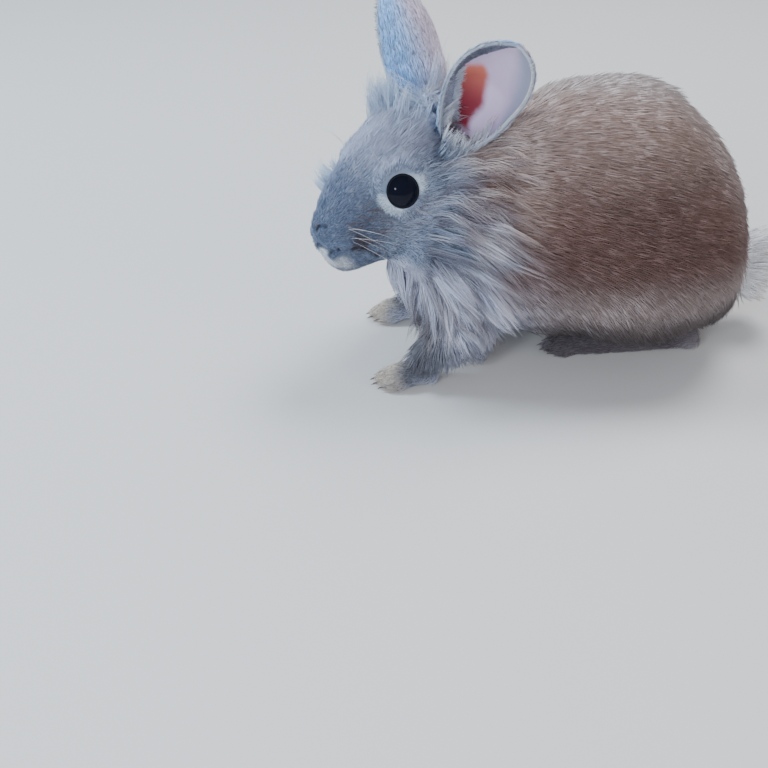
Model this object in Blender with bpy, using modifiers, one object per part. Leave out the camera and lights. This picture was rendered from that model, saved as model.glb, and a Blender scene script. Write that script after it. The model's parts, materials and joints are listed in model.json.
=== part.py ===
"""A lionhead rabbit, life size, crouched on all fours with its head turned to its left.

Metres, +Z up. The nose points along -Y and the rabbit's left side lies at +X. The origin is the
middle of the model's box, at floor level. The body is modelled whole, as masses that are fused
into one hide, and is then parted with thin cuts into head, neck, torso, forelegs and thighs.
"""

import math
import random

import bmesh
import bpy
import numpy as np
from mathutils import Matrix, Vector
from mathutils.bvhtree import BVHTree

MM = 0.001
SIDES = (("left", 1), ("right", -1))

# Driving sizes of the whole animal
GAP = 0.3 * MM
HIDE_VOXEL = 2.0 * MM
HEAD_HIDE_TRIANGLES, BODY_HIDE_TRIANGLES = 4000, 2500
PAW_TRIANGLES, LEG_TRIANGLES = 340, 320
SOLE_DEPTH = 1.0 * MM
LOCK_CLEARANCE = 0.28 * MM
WELD = 0.002 * MM
SORT_AXIS = Vector((1.0, 0.7313, 0.4179))

# The head's frame: its origin is the back of the skull, -Y runs to the nose
HEAD_ROOT = Vector((-12, -20, 95)) * MM
HEAD_YAW, HEAD_PITCH, HEAD_ROLL = (math.radians(a) for a in (28.5, 7, -4.5))
HEAD_LENGTH = 78 * MM
HEAD_PLACE = (
    Matrix.Translation(HEAD_ROOT)
    @ Matrix.Rotation(HEAD_YAW, 4, "Z")
    @ Matrix.Rotation(HEAD_PITCH, 4, "X")
    @ Matrix.Rotation(HEAD_ROLL, 4, "Y")
)

# Trunk sections, chest to rump, in mm: y, top, bottom, widest height, half width
TRUNK = (
    (-49, 74, 46, 60, 12),
    (-43, 92, 33, 60, 27),
    (-30, 107, 23, 62, 37),
    (-8, 119, 16, 64, 45),
    (18, 128, 12, 64, 50),
    (46, 133, 9, 62, 54),
    (74, 130, 7, 58, 54),
    (98, 114, 7, 54, 47),
    (113, 92, 10, 50, 35),
    (121, 68, 24, 46, 18),
)
# Head sections, skull to nose, in mm of the head's frame: y, top, bottom, widest height, half width
HEAD = (
    (3, 22, -22, -2, 18),
    (-5, 31, -27, -4, 23),
    (-17, 36, -30, -6, 26.5),
    (-30, 36, -31, -7, 27),
    (-41, 32, -30, -8, 24),
    (-52, 26, -28, -9, 19.5),
    (-61, 19, -26, -10, 16.5),
    (-69, 11, -24, -11, 13.5),
    (-75, 2, -20, -11, 9.5),
)

# Eyes, in the head's frame
EYE_CENTRE = Vector((15.8, -38.5, 8)) * MM
EYE_RADIUS = 9.2 * MM
EYE_AXIS = Vector((0.90, -0.28, 0.30)).normalized()
EYE_OPENING = (7.7 * MM, 7.1 * MM)
LID_THICKNESS = 1.6 * MM

# Nose and mouth, in mm of the head's frame
LIP_SPLIT = ((0, -80, -4), (0, -80, -7), (0, -79, -10))
MOUTH_LINE = ((0, -79, -10), (6, -77, -10), (11, -72, -9), (14.5, -66.5, -9.5), (16, -62, -12), (16.5, -57, -16.5))
NOSTRIL = ((2.2, -79, -0.5), (4.0, -78, 1.2), (6.0, -76, 2.0))
GROOVE_RADIUS, NOSTRIL_RADIUS = 0.6 * MM, 0.85 * MM

# Ears, in the head's frame: root, the way the ear runs, the way its cup opens, spread of the cup
EAR_LENGTH = 62 * MM
EAR_WALL = 2.0 * MM
EAR_ROOM, LEG_ROOM = 7 * MM, 1.2 * MM
EARS = {
    "left": (Vector((14.5, -4, 20)) * MM, Vector((0.685, 0.117, 0.719)), Vector((0.75, -0.67, 0)), 1),
    "right": (Vector((-13, -2, 21)) * MM, Vector((-0.3, 0.04, 0.95)), Vector((-1, 0.05, 0)), 0.85),
}

# The cuts that part the hide: a point in mm and the normal that the kept side lies along
HEAD_CUT = [
    (HEAD_PLACE @ (Vector(point) * MM), HEAD_PLACE.to_3x3() @ Vector(normal))
    for point, normal in (
        ((0, 0, 20), (0, -0.915, 0.403)),
        ((0, -20, -31), (0, -0.05, 1)),
        ((28.5, -20, -10), (-1, -0.15, 0.25)),
        ((-28.5, -20, -10), (1, -0.15, 0.25)),
    )
]
NECK_CUT = (Vector((0, 14, 120)) * MM, Vector((0, -0.832, 0.555)))
# The left thigh, as planes
THIGH = (
    ((25, 0, 0), (1, 0, 0.12)),
    ((0, 27, 40), (0, 1, 0.1)),
    ((0, 60, 88), (0, -0.25, -1)),
    ((0, 106, 50), (0, -1, 0)),
)
HIND_FOOT_TURN = -4

# Where the paws stand, toe tips
FOREPAWS = {"left": Vector((33, -62, 0)) * MM, "right": Vector((-27, -60, 0)) * MM}
FOREPAW_LENGTH, FOREPAW_WIDTH, FOREPAW_HEIGHT = 25 * MM, 17 * MM, 13 * MM
HIND_TOES_Y, HIND_FOOT_X = 26 * MM, 14 * MM
HIND_FOOT_LENGTH, HIND_FOOT_WIDTH, HIND_FOOT_HEIGHT = 74 * MM, 18 * MM, 12 * MM

# Locks: how far a root sinks in, thickness, and for each coat: count, spacing, length, width, rise
LOCK_SINK, LOCK_THICKNESS = 4 * MM, 2.2 * MM
LOCK_TAPER = (0.75, 1.0, 0.95, 0.62)
MANE = (60, 8.6 * MM, 31 * MM, 11 * MM, 4.5 * MM)
TAIL_LOCKS = (11, 9 * MM, 15 * MM, 11 * MM, 3 * MM)
CROWN = (7, 5 * MM, 20 * MM, 7 * MM, 9 * MM)

TAIL_CENTRE = Vector((1, 126, 36)) * MM
TAIL_RADII = Vector((13, 15, 18)) * MM

COLOURS = {
    "fur_grey": (0.35, 0.34, 0.35, 0.95),
    "fur_fawn": (0.36, 0.25, 0.19, 0.95),
    "fur_pale": (0.62, 0.58, 0.58, 0.95),
    "fur_white": (0.80, 0.79, 0.77, 0.95),
    "ear_skin": (0.55, 0.38, 0.38, 0.70),
    "eye_dark": (0.012, 0.012, 0.018, 0.08),
}


def clear_scene():
    """Removes every object, so that only the rabbit is left."""
    for obj in list(bpy.data.objects):
        bpy.data.objects.remove(obj)


def new_collection(name, hidden=False):
    """A collection in the scene. A hidden one holds masses and cutters."""
    made = bpy.data.collections.new(name)
    made.hide_render = hidden
    bpy.context.scene.collection.children.link(made)
    return made


def coat_material(name):
    """A plain Principled material for one kind of coat or skin."""
    red, green, blue, roughness = COLOURS[name]
    material = bpy.data.materials.new(name)
    material.use_nodes = True
    shader = material.node_tree.nodes["Principled BSDF"]
    shader.inputs["Base Color"].default_value = (red, green, blue, 1)
    shader.inputs["Roughness"].default_value = roughness
    shader.inputs["Metallic"].default_value = 0
    return material


def object_from(name, bm, collection):
    """A new object that holds the bmesh, with its normals pointing out and its faces in a fixed order."""
    bmesh.ops.recalc_face_normals(bm, faces=bm.faces)
    bm.faces.sort(key=lambda face: face.calc_center_median().dot(SORT_AXIS))
    mesh = bpy.data.meshes.new(name)
    bm.to_mesh(mesh)
    bm.free()
    obj = bpy.data.objects.new(name, mesh)
    collection.objects.link(obj)
    return obj


def evaluated_copy(obj, name, collection):
    """A plain mesh object with the modifiers of obj applied, in world space."""
    bpy.context.view_layer.update()
    graph = bpy.context.evaluated_depsgraph_get()
    mesh = bpy.data.meshes.new_from_object(obj.evaluated_get(graph))
    mesh.transform(obj.matrix_world)
    made = bpy.data.objects.new(name, mesh)
    collection.objects.link(made)
    return made


def drop(*objects):
    """Removes helper objects once they are used."""
    for obj in objects:
        bpy.data.objects.remove(obj)


def through(rows, steps):
    """Rows of numbers joined by a Catmull-Rom curve, with that many steps between two rows."""
    rows = np.array(rows, float)
    padded = np.vstack([2 * rows[0] - rows[1], rows, 2 * rows[-1] - rows[-2]])
    made = []
    for i in range(len(rows) - 1):
        before, start, end, after = padded[i : i + 4]
        for k in range(steps):
            t = k / steps
            made.append(
                0.5
                * (
                    2 * start
                    + (end - before) * t
                    + (2 * before - 5 * start + 4 * end - after) * t**2
                    + (3 * start - before - 3 * end + after) * t**3
                )
            )
    made.append(rows[-1])
    return np.array(made)


def skin_rings(bm, rings):
    """Quads between closed rings of vertices, with a fan at each end."""
    count = len(rings[0])
    for near, far in zip(rings, rings[1:]):
        for k in range(count):
            bm.faces.new((near[k], near[(k + 1) % count], far[(k + 1) % count], far[k]))
    for ring in (rings[0], rings[-1]):
        centre = sum((v.co for v in ring), Vector()) / count
        tip = bm.verts.new(centre)
        for k in range(count):
            bm.faces.new((ring[k], ring[(k + 1) % count], tip))


def section_loft(name, sections, collection, place=Matrix(), steps=3, sides=28):
    """A closed form through egg-shaped sections: y, top, bottom, widest height, half width, in mm."""
    bm = bmesh.new()
    rings = []
    for y, top, bottom, middle, half in through(sections, steps) * MM:
        ring = []
        for k in range(sides):
            turn = math.tau * k / sides
            reach = (top - middle) if math.sin(turn) > 0 else (middle - bottom)
            point = Vector((half * math.cos(turn), y, middle + reach * math.sin(turn)))
            ring.append(bm.verts.new(place @ point))
        rings.append(ring)
    skin_rings(bm, rings)
    return object_from(name, bm, collection)


def tube(name, path, radii, collection, sides=16, steps=4, flat=1.0):
    """A closed round limb along a smooth path. flat squeezes it upwards."""
    rows = [(*point, radius) for point, radius in zip(path, radii)]
    smooth = through(rows, steps)
    bm = bmesh.new()
    rings = []
    for i, (x, y, z, radius) in enumerate(smooth):
        ahead = smooth[min(i + 1, len(smooth) - 1)][:3]
        behind = smooth[max(i - 1, 0)][:3]
        along = Vector(ahead - behind).normalized()
        side = along.cross(Vector((0, 0, 1)))
        side = side.normalized() if side.length > 0.2 else Vector((1, 0, 0))
        up = side.cross(along).normalized() * flat
        ring = []
        for k in range(sides):
            turn = math.tau * k / sides
            offset = side * math.cos(turn) + up * math.sin(turn)
            ring.append(bm.verts.new(Vector((x, y, z)) + offset * radius))
        rings.append(ring)
    skin_rings(bm, rings)
    return object_from(name, bm, collection)


def ball(name, centre, radii, collection, place=Matrix(), segments=24, rings=14):
    """An ellipsoid from a UV sphere."""
    bm = bmesh.new()
    scale = Matrix.Diagonal((*radii, 1))
    matrix = place @ Matrix.Translation(centre) @ scale
    bmesh.ops.create_uvsphere(bm, u_segments=segments, v_segments=rings, radius=1, matrix=matrix)
    return object_from(name, bm, collection)


def region(name, planes, collection, grow=0.0, reach=0.5):
    """The convex space in front of every plane, each a point and a normal, grown by a margin."""
    bm = bmesh.new()
    bmesh.ops.create_cube(bm, size=2 * reach)
    for point, normal in planes:
        keep = Vector(normal).normalized()
        cut = bmesh.ops.bisect_plane(
            bm,
            geom=bm.verts[:] + bm.edges[:] + bm.faces[:],
            plane_co=Vector(point) - keep * grow,
            plane_no=keep,
            clear_inner=True,
        )
        rim = [e for e in cut["geom_cut"] if isinstance(e, bmesh.types.BMEdge)]
        bmesh.ops.contextual_create(bm, geom=rim)
    return object_from(name, bm, collection)


def apply_boolean(obj, others, operation, solver="EXACT"):
    """Cuts or joins obj with closed meshes, keeps the result as its mesh, and removes the others."""
    helpers = bpy.data.collections.new("operands")
    for other in others:
        for home in list(other.users_collection):
            home.objects.unlink(other)
        helpers.objects.link(other)
    modifier = obj.modifiers.new("join", "BOOLEAN")
    modifier.operation = operation
    modifier.solver = solver
    modifier.operand_type = "COLLECTION"
    modifier.collection = helpers
    graph = bpy.context.evaluated_depsgraph_get()
    mesh = bpy.data.meshes.new_from_object(obj.evaluated_get(graph))
    obj.modifiers.remove(modifier)
    obj.data = mesh
    drop(*others)
    bpy.data.collections.remove(helpers)
    return obj


def close_seams(bm):
    """Merges the doubled vertices of open seams, and leaves a closed mesh alone."""
    if any(not edge.is_manifold for edge in bm.edges):
        bmesh.ops.remove_doubles(bm, verts=bm.verts, dist=WELD)


def keep_largest(obj):
    """Keeps only the largest closed surface of the mesh, by walking from face to face."""
    bm = bmesh.new()
    bm.from_mesh(obj.data)
    close_seams(bm)
    unseen = set(bm.faces)
    shells = []
    while unseen:
        shell = {unseen.pop()}
        front = list(shell)
        while front:
            for edge in front.pop().edges:
                for face in edge.link_faces:
                    if face in unseen:
                        unseen.discard(face)
                        shell.add(face)
                        front.append(face)
        shells.append(shell)
    largest = max(shells, key=len)
    scraps = [face for shell in shells if shell is not largest for face in shell]
    bmesh.ops.delete(bm, geom=scraps, context="FACES")
    loose = [vert for vert in bm.verts if not vert.link_faces]
    bmesh.ops.delete(bm, geom=loose, context="VERTS")
    bm.to_mesh(obj.data)
    bm.free()
    return obj


def swollen(obj, by, name, collection):
    """A copy with its surface moved out along its normals."""
    made = obj.copy()
    made.data = obj.data.copy()
    made.name = name
    collection.objects.link(made)
    bm = bmesh.new()
    bm.from_mesh(made.data)
    close_seams(bm)
    bm.normal_update()
    for vert in bm.verts:
        vert.co += vert.normal * by * vert.calc_shell_factor()
    bm.to_mesh(made.data)
    bm.free()
    return made


def fused(name, masses, collection, voxel, smoothing):
    """One smooth closed mesh around overlapping masses."""
    whole = bmesh.new()
    for mass in masses:
        whole.from_mesh(mass.data)
    joined = object_from(name + "_masses", whole, collection)
    remesh = joined.modifiers.new("fuse", "REMESH")
    remesh.mode = "VOXEL"
    remesh.voxel_size = voxel
    smooth = joined.modifiers.new("smooth", "SMOOTH")
    smooth.factor = 0.5
    smooth.iterations = smoothing
    made = evaluated_copy(joined, name, collection)
    drop(joined, *masses)
    return made


def thinned(obj, triangles, name, collection):
    """A copy of a dense mesh with about that many triangles."""
    dense = sum(len(p.vertices) - 2 for p in obj.data.polygons)
    made = obj.copy()
    made.data = obj.data.copy()
    collection.objects.link(made)
    decimate = made.modifiers.new("thin", "DECIMATE")
    decimate.ratio = triangles / dense
    decimate.use_collapse_triangulate = True
    out = evaluated_copy(made, name, collection)
    drop(made)
    return out


def head_masses(helpers):
    """The skull and muzzle as one loft, with cheeks, brows, lip pads and chin on it."""
    masses = [section_loft("head_loft", HEAD, helpers, HEAD_PLACE)]
    for side in (1, -1):
        for centre, radii in (
            ((14 * side, -27, -12), (14, 20, 16)),
            ((15 * side, -36, 15), (9, 15, 10)),
            ((7 * side, -67, -8), (8, 9, 8.5)),
            ((9 * side, -57, -14), (8, 14, 10)),
        ):
            masses.append(
                ball("head_mass", Vector(centre) * MM, Vector(radii) * MM, helpers, HEAD_PLACE)
            )
    for centre, radii in (
        ((0, -62, -23), (8, 10, 6)),
        ((0, -73.2, -1), (6, 4.5, 6.5)),
        ((0, -12, 17), (19, 19, 15)),
    ):
        masses.append(
            ball("head_mass", Vector(centre) * MM, Vector(radii) * MM, helpers, HEAD_PLACE)
        )
    return masses


def body_masses(helpers):
    """The trunk, the haunches, the shoulders, the neck and the throat."""
    masses = [section_loft("trunk", TRUNK, helpers)]
    for _, side in SIDES:
        for centre, radii in (((33 * side, 66, 54), (22, 46, 37)), ((24 * side, -22, 58), (19, 24, 33))):
            masses.append(ball("muscle", Vector(centre) * MM, Vector(radii) * MM, helpers))
    neck_end = HEAD_PLACE @ (Vector((0, -8, -6)) * MM)
    neck = [Vector((0, 22, 88)) * MM, Vector((-6, 0, 89)) * MM, neck_end]
    masses.append(tube("neck", neck, [34 * MM, 33 * MM, 25 * MM], helpers, sides=24))
    masses.append(ball("throat", Vector((2, -38, 62)) * MM, Vector((25, 18, 25)) * MM, helpers))
    return masses


def foreleg(name, side, helpers, room=0.0):
    """One foreleg from the chest down to the wrist, full with fur at the elbow, or with room round it."""
    wrist = FOREPAWS[name] + Vector((0, FOREPAW_LENGTH - 5 * MM, 12 * MM))
    shoulder, elbow = Vector((24 * side, -26, 58)) * MM, Vector((30 * side, -21, 31)) * MM
    path = [shoulder, elbow, elbow.lerp(wrist, 0.55), wrist]
    masses = [
        tube("limb", path, [17 * MM + room, 15 * MM + room, 11.5 * MM + room, 8 * MM + room], helpers),
        ball(
            "elbow_fur",
            elbow + Vector((0, 5, -6)) * MM,
            Vector((11 * MM + room, 13 * MM + room, 13 * MM + room)),
            helpers,
        ),
    ]
    whole = fused("foreleg_dense", masses, helpers, 1.6 * MM, 4)
    made = thinned(whole, LEG_TRIANGLES, "foreleg_" + name, helpers)
    drop(whole)
    return made


def ear_shell(name, helpers):
    """The cup of one ear as an open sheet with a wall: a tube at the root that opens and flattens."""
    root, run, opening, spread = EARS[name]
    run = run.normalized()
    opening = (opening - run * opening.dot(run)).normalized()
    across = run.cross(opening)
    rows, columns = 15, 10
    # share of the length, half width, half of the arc in degrees, lean of the axis away from the cup
    profile = through(
        (
            (-0.16, 7.0, 150, 0.0),
            (0.0, 8.5, 148, 0.0),
            (0.16, 12.5, 118, 1.5),
            (0.36, 16.0, 88, 3.5),
            (0.58, 16.6, 68, 5.0),
            (0.78, 13.5, 55, 5.0),
            (0.92, 8.0, 42, 4.0),
            (1.0, 1.6, 30, 3.0),
        ),
        2,
    )
    bm = bmesh.new()
    grid = []
    for share, half, arc, lean in profile:
        arc = math.radians(arc)
        half *= 1 + (spread - 1) * min(max(share, 0) * 3, 1)
        radius = half / math.sin(min(arc, math.pi / 2)) * MM
        centre = root + run * (EAR_LENGTH * share) - opening * (lean * MM)
        line = []
        for k in range(columns + 1):
            turn = arc * (2 * k / columns - 1)
            offset = across * math.sin(turn) - opening * math.cos(turn)
            hollow = opening * (radius * math.cos(arc)) if arc < math.pi / 2 else Vector()
            line.append(bm.verts.new(HEAD_PLACE @ (centre + offset * radius + hollow)))
        grid.append(line)
    for low, high in zip(grid, grid[1:]):
        for k in range(columns):
            bm.faces.new((low[k], low[k + 1], high[k + 1], high[k]))
    sheet = object_from(name + "_sheet", bm, helpers)
    wall = sheet.modifiers.new("wall", "SOLIDIFY")
    wall.thickness = EAR_WALL
    wall.offset = 0
    made = evaluated_copy(sheet, "ear_" + name, helpers)
    drop(sheet)
    return made


def paw_block(name, toe, size, heading, collection):
    """A paw along the floor: a low pad and four toes, on a flat sole."""
    length, width, height = size
    turn = Matrix.Translation(toe) @ Matrix.Rotation(heading, 4, "Z")
    masses = [
        tube(
            "pad",
            [
                Vector((0, length, height * 0.54)),
                Vector((0, length * 0.55, height * 0.52)),
                Vector((0, height * 0.6, height * 0.40)),
            ],
            [width * 0.36, width * 0.46, width * 0.42],
            collection,
            flat=height / width * 1.1,
        )
    ]
    heel = Vector((0, length, height * 0.52))
    masses.append(ball("heel", heel, Vector((width * 0.36, height * 0.5, height * 0.5)), collection))
    for k, share in enumerate((-0.33, -0.12, 0.12, 0.33)):
        back = (0.10, 0.0, 0.02, 0.14)[k] * min(length, 30 * MM)
        masses.append(
            ball(
                "toe",
                Vector((share * width, back + height * 0.42, height * 0.33)),
                Vector((width * 0.155, height * 0.55, height * 0.34)),
                collection,
            )
        )
    for mass in masses:
        mass.data.transform(turn)
    paw = fused(name + "_dense", masses, collection, 0.9 * MM, 3)
    made = thinned(paw, PAW_TRIANGLES, name, collection)
    drop(paw)
    sole = region("floor", [(Vector((0, 0, SOLE_DEPTH)), (0, 0, 1))], collection)
    apply_boolean(made, [sole], "INTERSECT")
    made.data.transform(Matrix.Translation((0, 0, -SOLE_DEPTH)))
    return keep_largest(made)


def surface_of(obj):
    """A tree for finding the nearest point on a mesh, in world space."""
    return BVHTree.FromPolygons([v.co for v in obj.data.vertices], [p.vertices for p in obj.data.polygons])


def scattered_roots(obj, hide, count, spacing, rng, allowed):
    """Evenly spaced points on the outer surface of a node, the part of it that is also hide."""
    faces = []
    areas = []
    for face in sorted(obj.data.polygons, key=lambda face: tuple(face.center)):
        near, _, _, distance = hide.find_nearest(face.center)
        if distance < 0.15 * MM and allowed(near):
            faces.append(sorted((obj.data.vertices[i].co.copy() for i in face.vertices), key=tuple))
            areas.append(face.area)
    roots = []
    for _ in range(count * 60):
        corners = rng.choices(faces, areas)[0]
        a, b = sorted((rng.random(), rng.random()))
        point = corners[0] * a + corners[1] * (b - a) + corners[2] * (1 - b)
        if all((point - other).length > spacing for other in roots):
            roots.append(point)
        if len(roots) == count:
            break
    return roots


def lock(hide, root, lie, length, width, rise, helpers):
    """One flat, tapered lock that sinks in at its root and follows the lie of the coat."""
    steps = len(LOCK_TAPER)
    point, normal = hide.find_nearest(root)[:2]
    bm = bmesh.new()
    rings = []
    for k, share in enumerate(LOCK_TAPER):
        along = lie(point)
        along = (along - normal * along.dot(normal)).normalized()
        side = along.cross(normal)
        out = k / steps
        height = -LOCK_SINK if k == 0 else LOCK_THICKNESS / 2 + 0.6 * MM + rise * out**1.3
        centre = point + normal * height
        across, up = side * (width * share / 2), normal * (LOCK_THICKNESS * (0.6 + 0.4 * share) / 2)
        rings.append([bm.verts.new(centre + v) for v in (across, up, -across, -up)])
        point, normal = hide.find_nearest(point + along * (length / steps))[:2]
    tip = bm.verts.new(point + normal * (LOCK_THICKNESS / 2 + rise))
    for near, far in zip(rings, rings[1:]):
        for k in range(4):
            bm.faces.new((near[k], near[(k + 1) % 4], far[(k + 1) % 4], far[k]))
    bm.faces.new(rings[0])
    for k in range(4):
        bm.faces.new((rings[-1][k], rings[-1][(k + 1) % 4], tip))
    bmesh.ops.triangulate(bm, faces=bm.faces[:])
    return object_from("lock", bm, helpers)


def add_locks(node, locks, neighbours, ears, rooms, helpers):
    """Fuses locks to their node, after cutting them clear of its neighbours."""
    first, rest = locks[0], locks[1:]
    apply_boolean(first, rest, "UNION", "MANIFOLD")
    cutters = [swollen(other, LOCK_CLEARANCE, "cutter", helpers) for other in neighbours]
    cutters += [swollen(ear, 2 * GAP, "cutter", helpers) for ear in ears]
    cutters += rooms
    apply_boolean(first, cutters, "DIFFERENCE", "MANIFOLD")
    apply_boolean(node, [first], "UNION", "MANIFOLD")
    return keep_largest(node)


def mane_lie(point):
    """The mane runs back over the shoulders, and ever more downwards lower on the neck."""
    x, _, z = point / MM
    down = min(max((105 - z) / 45, 0.0), 1.6)
    chest = min(max((62 - z) / 30, 0.0), 1.0) * max(0.0, 1 - abs(x) / 30)
    return Vector((0.006 * x, 1.0 - 0.9 * chest, -0.9 * down)).normalized()


def crown_lie(point):
    """The crown's hair rises from the forehead and sweeps back between the ears."""
    return HEAD_PLACE.to_3x3() @ Vector((0, 1, 0.6))


def on_crown(point):
    """Between the roots of the ears, on top of the head."""
    x, y, z = (HEAD_PLACE.inverted() @ point) / MM
    return abs(x) < 9 and -24 < y < 0 and z > 20


def tail_lie(point):
    """The tail's hair runs back and out from its root."""
    away = point - (TAIL_CENTRE - Vector((0, 14, 0)) * MM)
    return (away.normalized() + Vector((0, 0.8, -0.35))).normalized()


def coat_locks(node, hide, lie, coat, seed, helpers, allowed=lambda point: True):
    """Locks all over the outer surface of a node, each a little different."""
    count, spacing, length, width, rise = coat
    rng = random.Random(seed)
    made = []
    for root in scattered_roots(node, hide, count, spacing, rng, allowed):
        turn = Matrix.Rotation(rng.uniform(-0.28, 0.28), 3, Vector((1, 0, 0)))
        size = rng.uniform(0.82, 1.15)
        bent = lambda point, turn=turn: turn @ lie(point)
        high = rise * rng.uniform(0.55, 1.25)
        made.append(lock(hide, root, bent, length * size, width * rng.uniform(0.85, 1.15), high, helpers))
    return made


def cut_head(hide, helpers):
    """The head: hide in front of the neck plane, with lids, eye openings, nostrils and mouth."""
    head = evaluated_copy(hide, "head", helpers)
    front = region("front", HEAD_CUT, helpers)
    apply_boolean(head, [front], "INTERSECT")
    lids = []
    cutters = []
    for _, side in SIDES:
        centre = EYE_CENTRE * Vector((side, 1, 1))
        axis = EYE_AXIS * Vector((side, 1, 1))
        lid = Vector((1, 1, 1)) * (EYE_RADIUS + LID_THICKNESS)
        lids.append(ball("lid", centre, lid, helpers, HEAD_PLACE, segments=22, rings=12))
        socket = Vector((1, 1, 1)) * (EYE_RADIUS + GAP)
        cutters.append(ball("socket", centre, socket, helpers, HEAD_PLACE, segments=18, rings=10))
        cutters.append(eye_opening(centre, axis, helpers))
    apply_boolean(head, lids, "UNION")
    apply_boolean(head, cutters + mouth_cutters(hide, helpers), "DIFFERENCE")
    return keep_largest(head)


def eye_opening(centre, axis, helpers):
    """The oval between the lids, as a cutter from the middle of the eye outwards."""
    bm = bmesh.new()
    long_radius, short_radius = EYE_OPENING
    depth = 2.2 * EYE_RADIUS
    turn = axis.to_track_quat("Z", "Y").to_matrix().to_4x4()
    matrix = (
        HEAD_PLACE
        @ Matrix.Translation(centre + axis * depth / 2)
        @ turn
        @ Matrix.Diagonal((short_radius, long_radius, depth, 1))
    )
    bmesh.ops.create_cone(
        bm, cap_ends=True, segments=20, radius1=0.85, radius2=1.18, depth=1, matrix=matrix
    )
    return object_from("eye_opening", bm, helpers)


def mouth_cutters(hide, helpers):
    """Slim grooves laid on the hide: the split lip, the line of the mouth and the slanted nostrils."""
    surface = surface_of(hide)
    lines = [(LIP_SPLIT, GROOVE_RADIUS)]
    for side in (1, -1):
        lines.append(([(x * side, y, z) for x, y, z in MOUTH_LINE], GROOVE_RADIUS))
        lines.append(([(x * side, y, z) for x, y, z in NOSTRIL], NOSTRIL_RADIUS))
    cutters = []
    for line, radius in lines:
        path = [surface.find_nearest(HEAD_PLACE @ (Vector(point) * MM))[0] for point in line]
        cutters.append(tube("groove", path, [radius] * len(path), helpers, sides=6, steps=2))
    return cutters


def clear_of(obj, neighbours, gap, helpers):
    """Cuts obj back so that it keeps the gap to each neighbour. EXACT misses some of these cuts."""
    cutters = [swollen(other, gap, "cutter", helpers) for other in neighbours]
    apply_boolean(obj, cutters, "DIFFERENCE", "MANIFOLD")
    return keep_largest(obj)


def finish(obj, name, material, rabbit):
    """Names a piece, gives it its material and smooth shading, and sets its origin in its middle."""
    for home in list(obj.users_collection):
        home.objects.unlink(obj)
    rabbit.objects.link(obj)
    obj.name = name
    obj.data.name = name
    obj.data.materials.clear()
    obj.data.materials.append(material)
    obj.data.shade_smooth()
    corners = [Vector(corner) for corner in obj.bound_box]
    middle = sum(corners, Vector()) / len(corners)
    obj.data.transform(Matrix.Translation(-middle))
    obj.location = middle
    return obj


def stand_on_floor(pieces, root):
    """Moves the rabbit so that the bottom middle of its box is the origin, under one empty."""
    bpy.context.view_layer.update()
    corners = [piece.matrix_world @ Vector(c) for piece in pieces for c in piece.bound_box]
    low = Vector([min(c[i] for c in corners) for i in range(3)])
    high = Vector([max(c[i] for c in corners) for i in range(3)])
    shift = Vector((-(low.x + high.x) / 2, -(low.y + high.y) / 2, -low.z))
    for piece in pieces:
        piece.location += shift
        piece.parent = root
    print("size in mm", [round(v / MM, 1) for v in high - low], "shift", [v / MM for v in shift])


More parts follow.
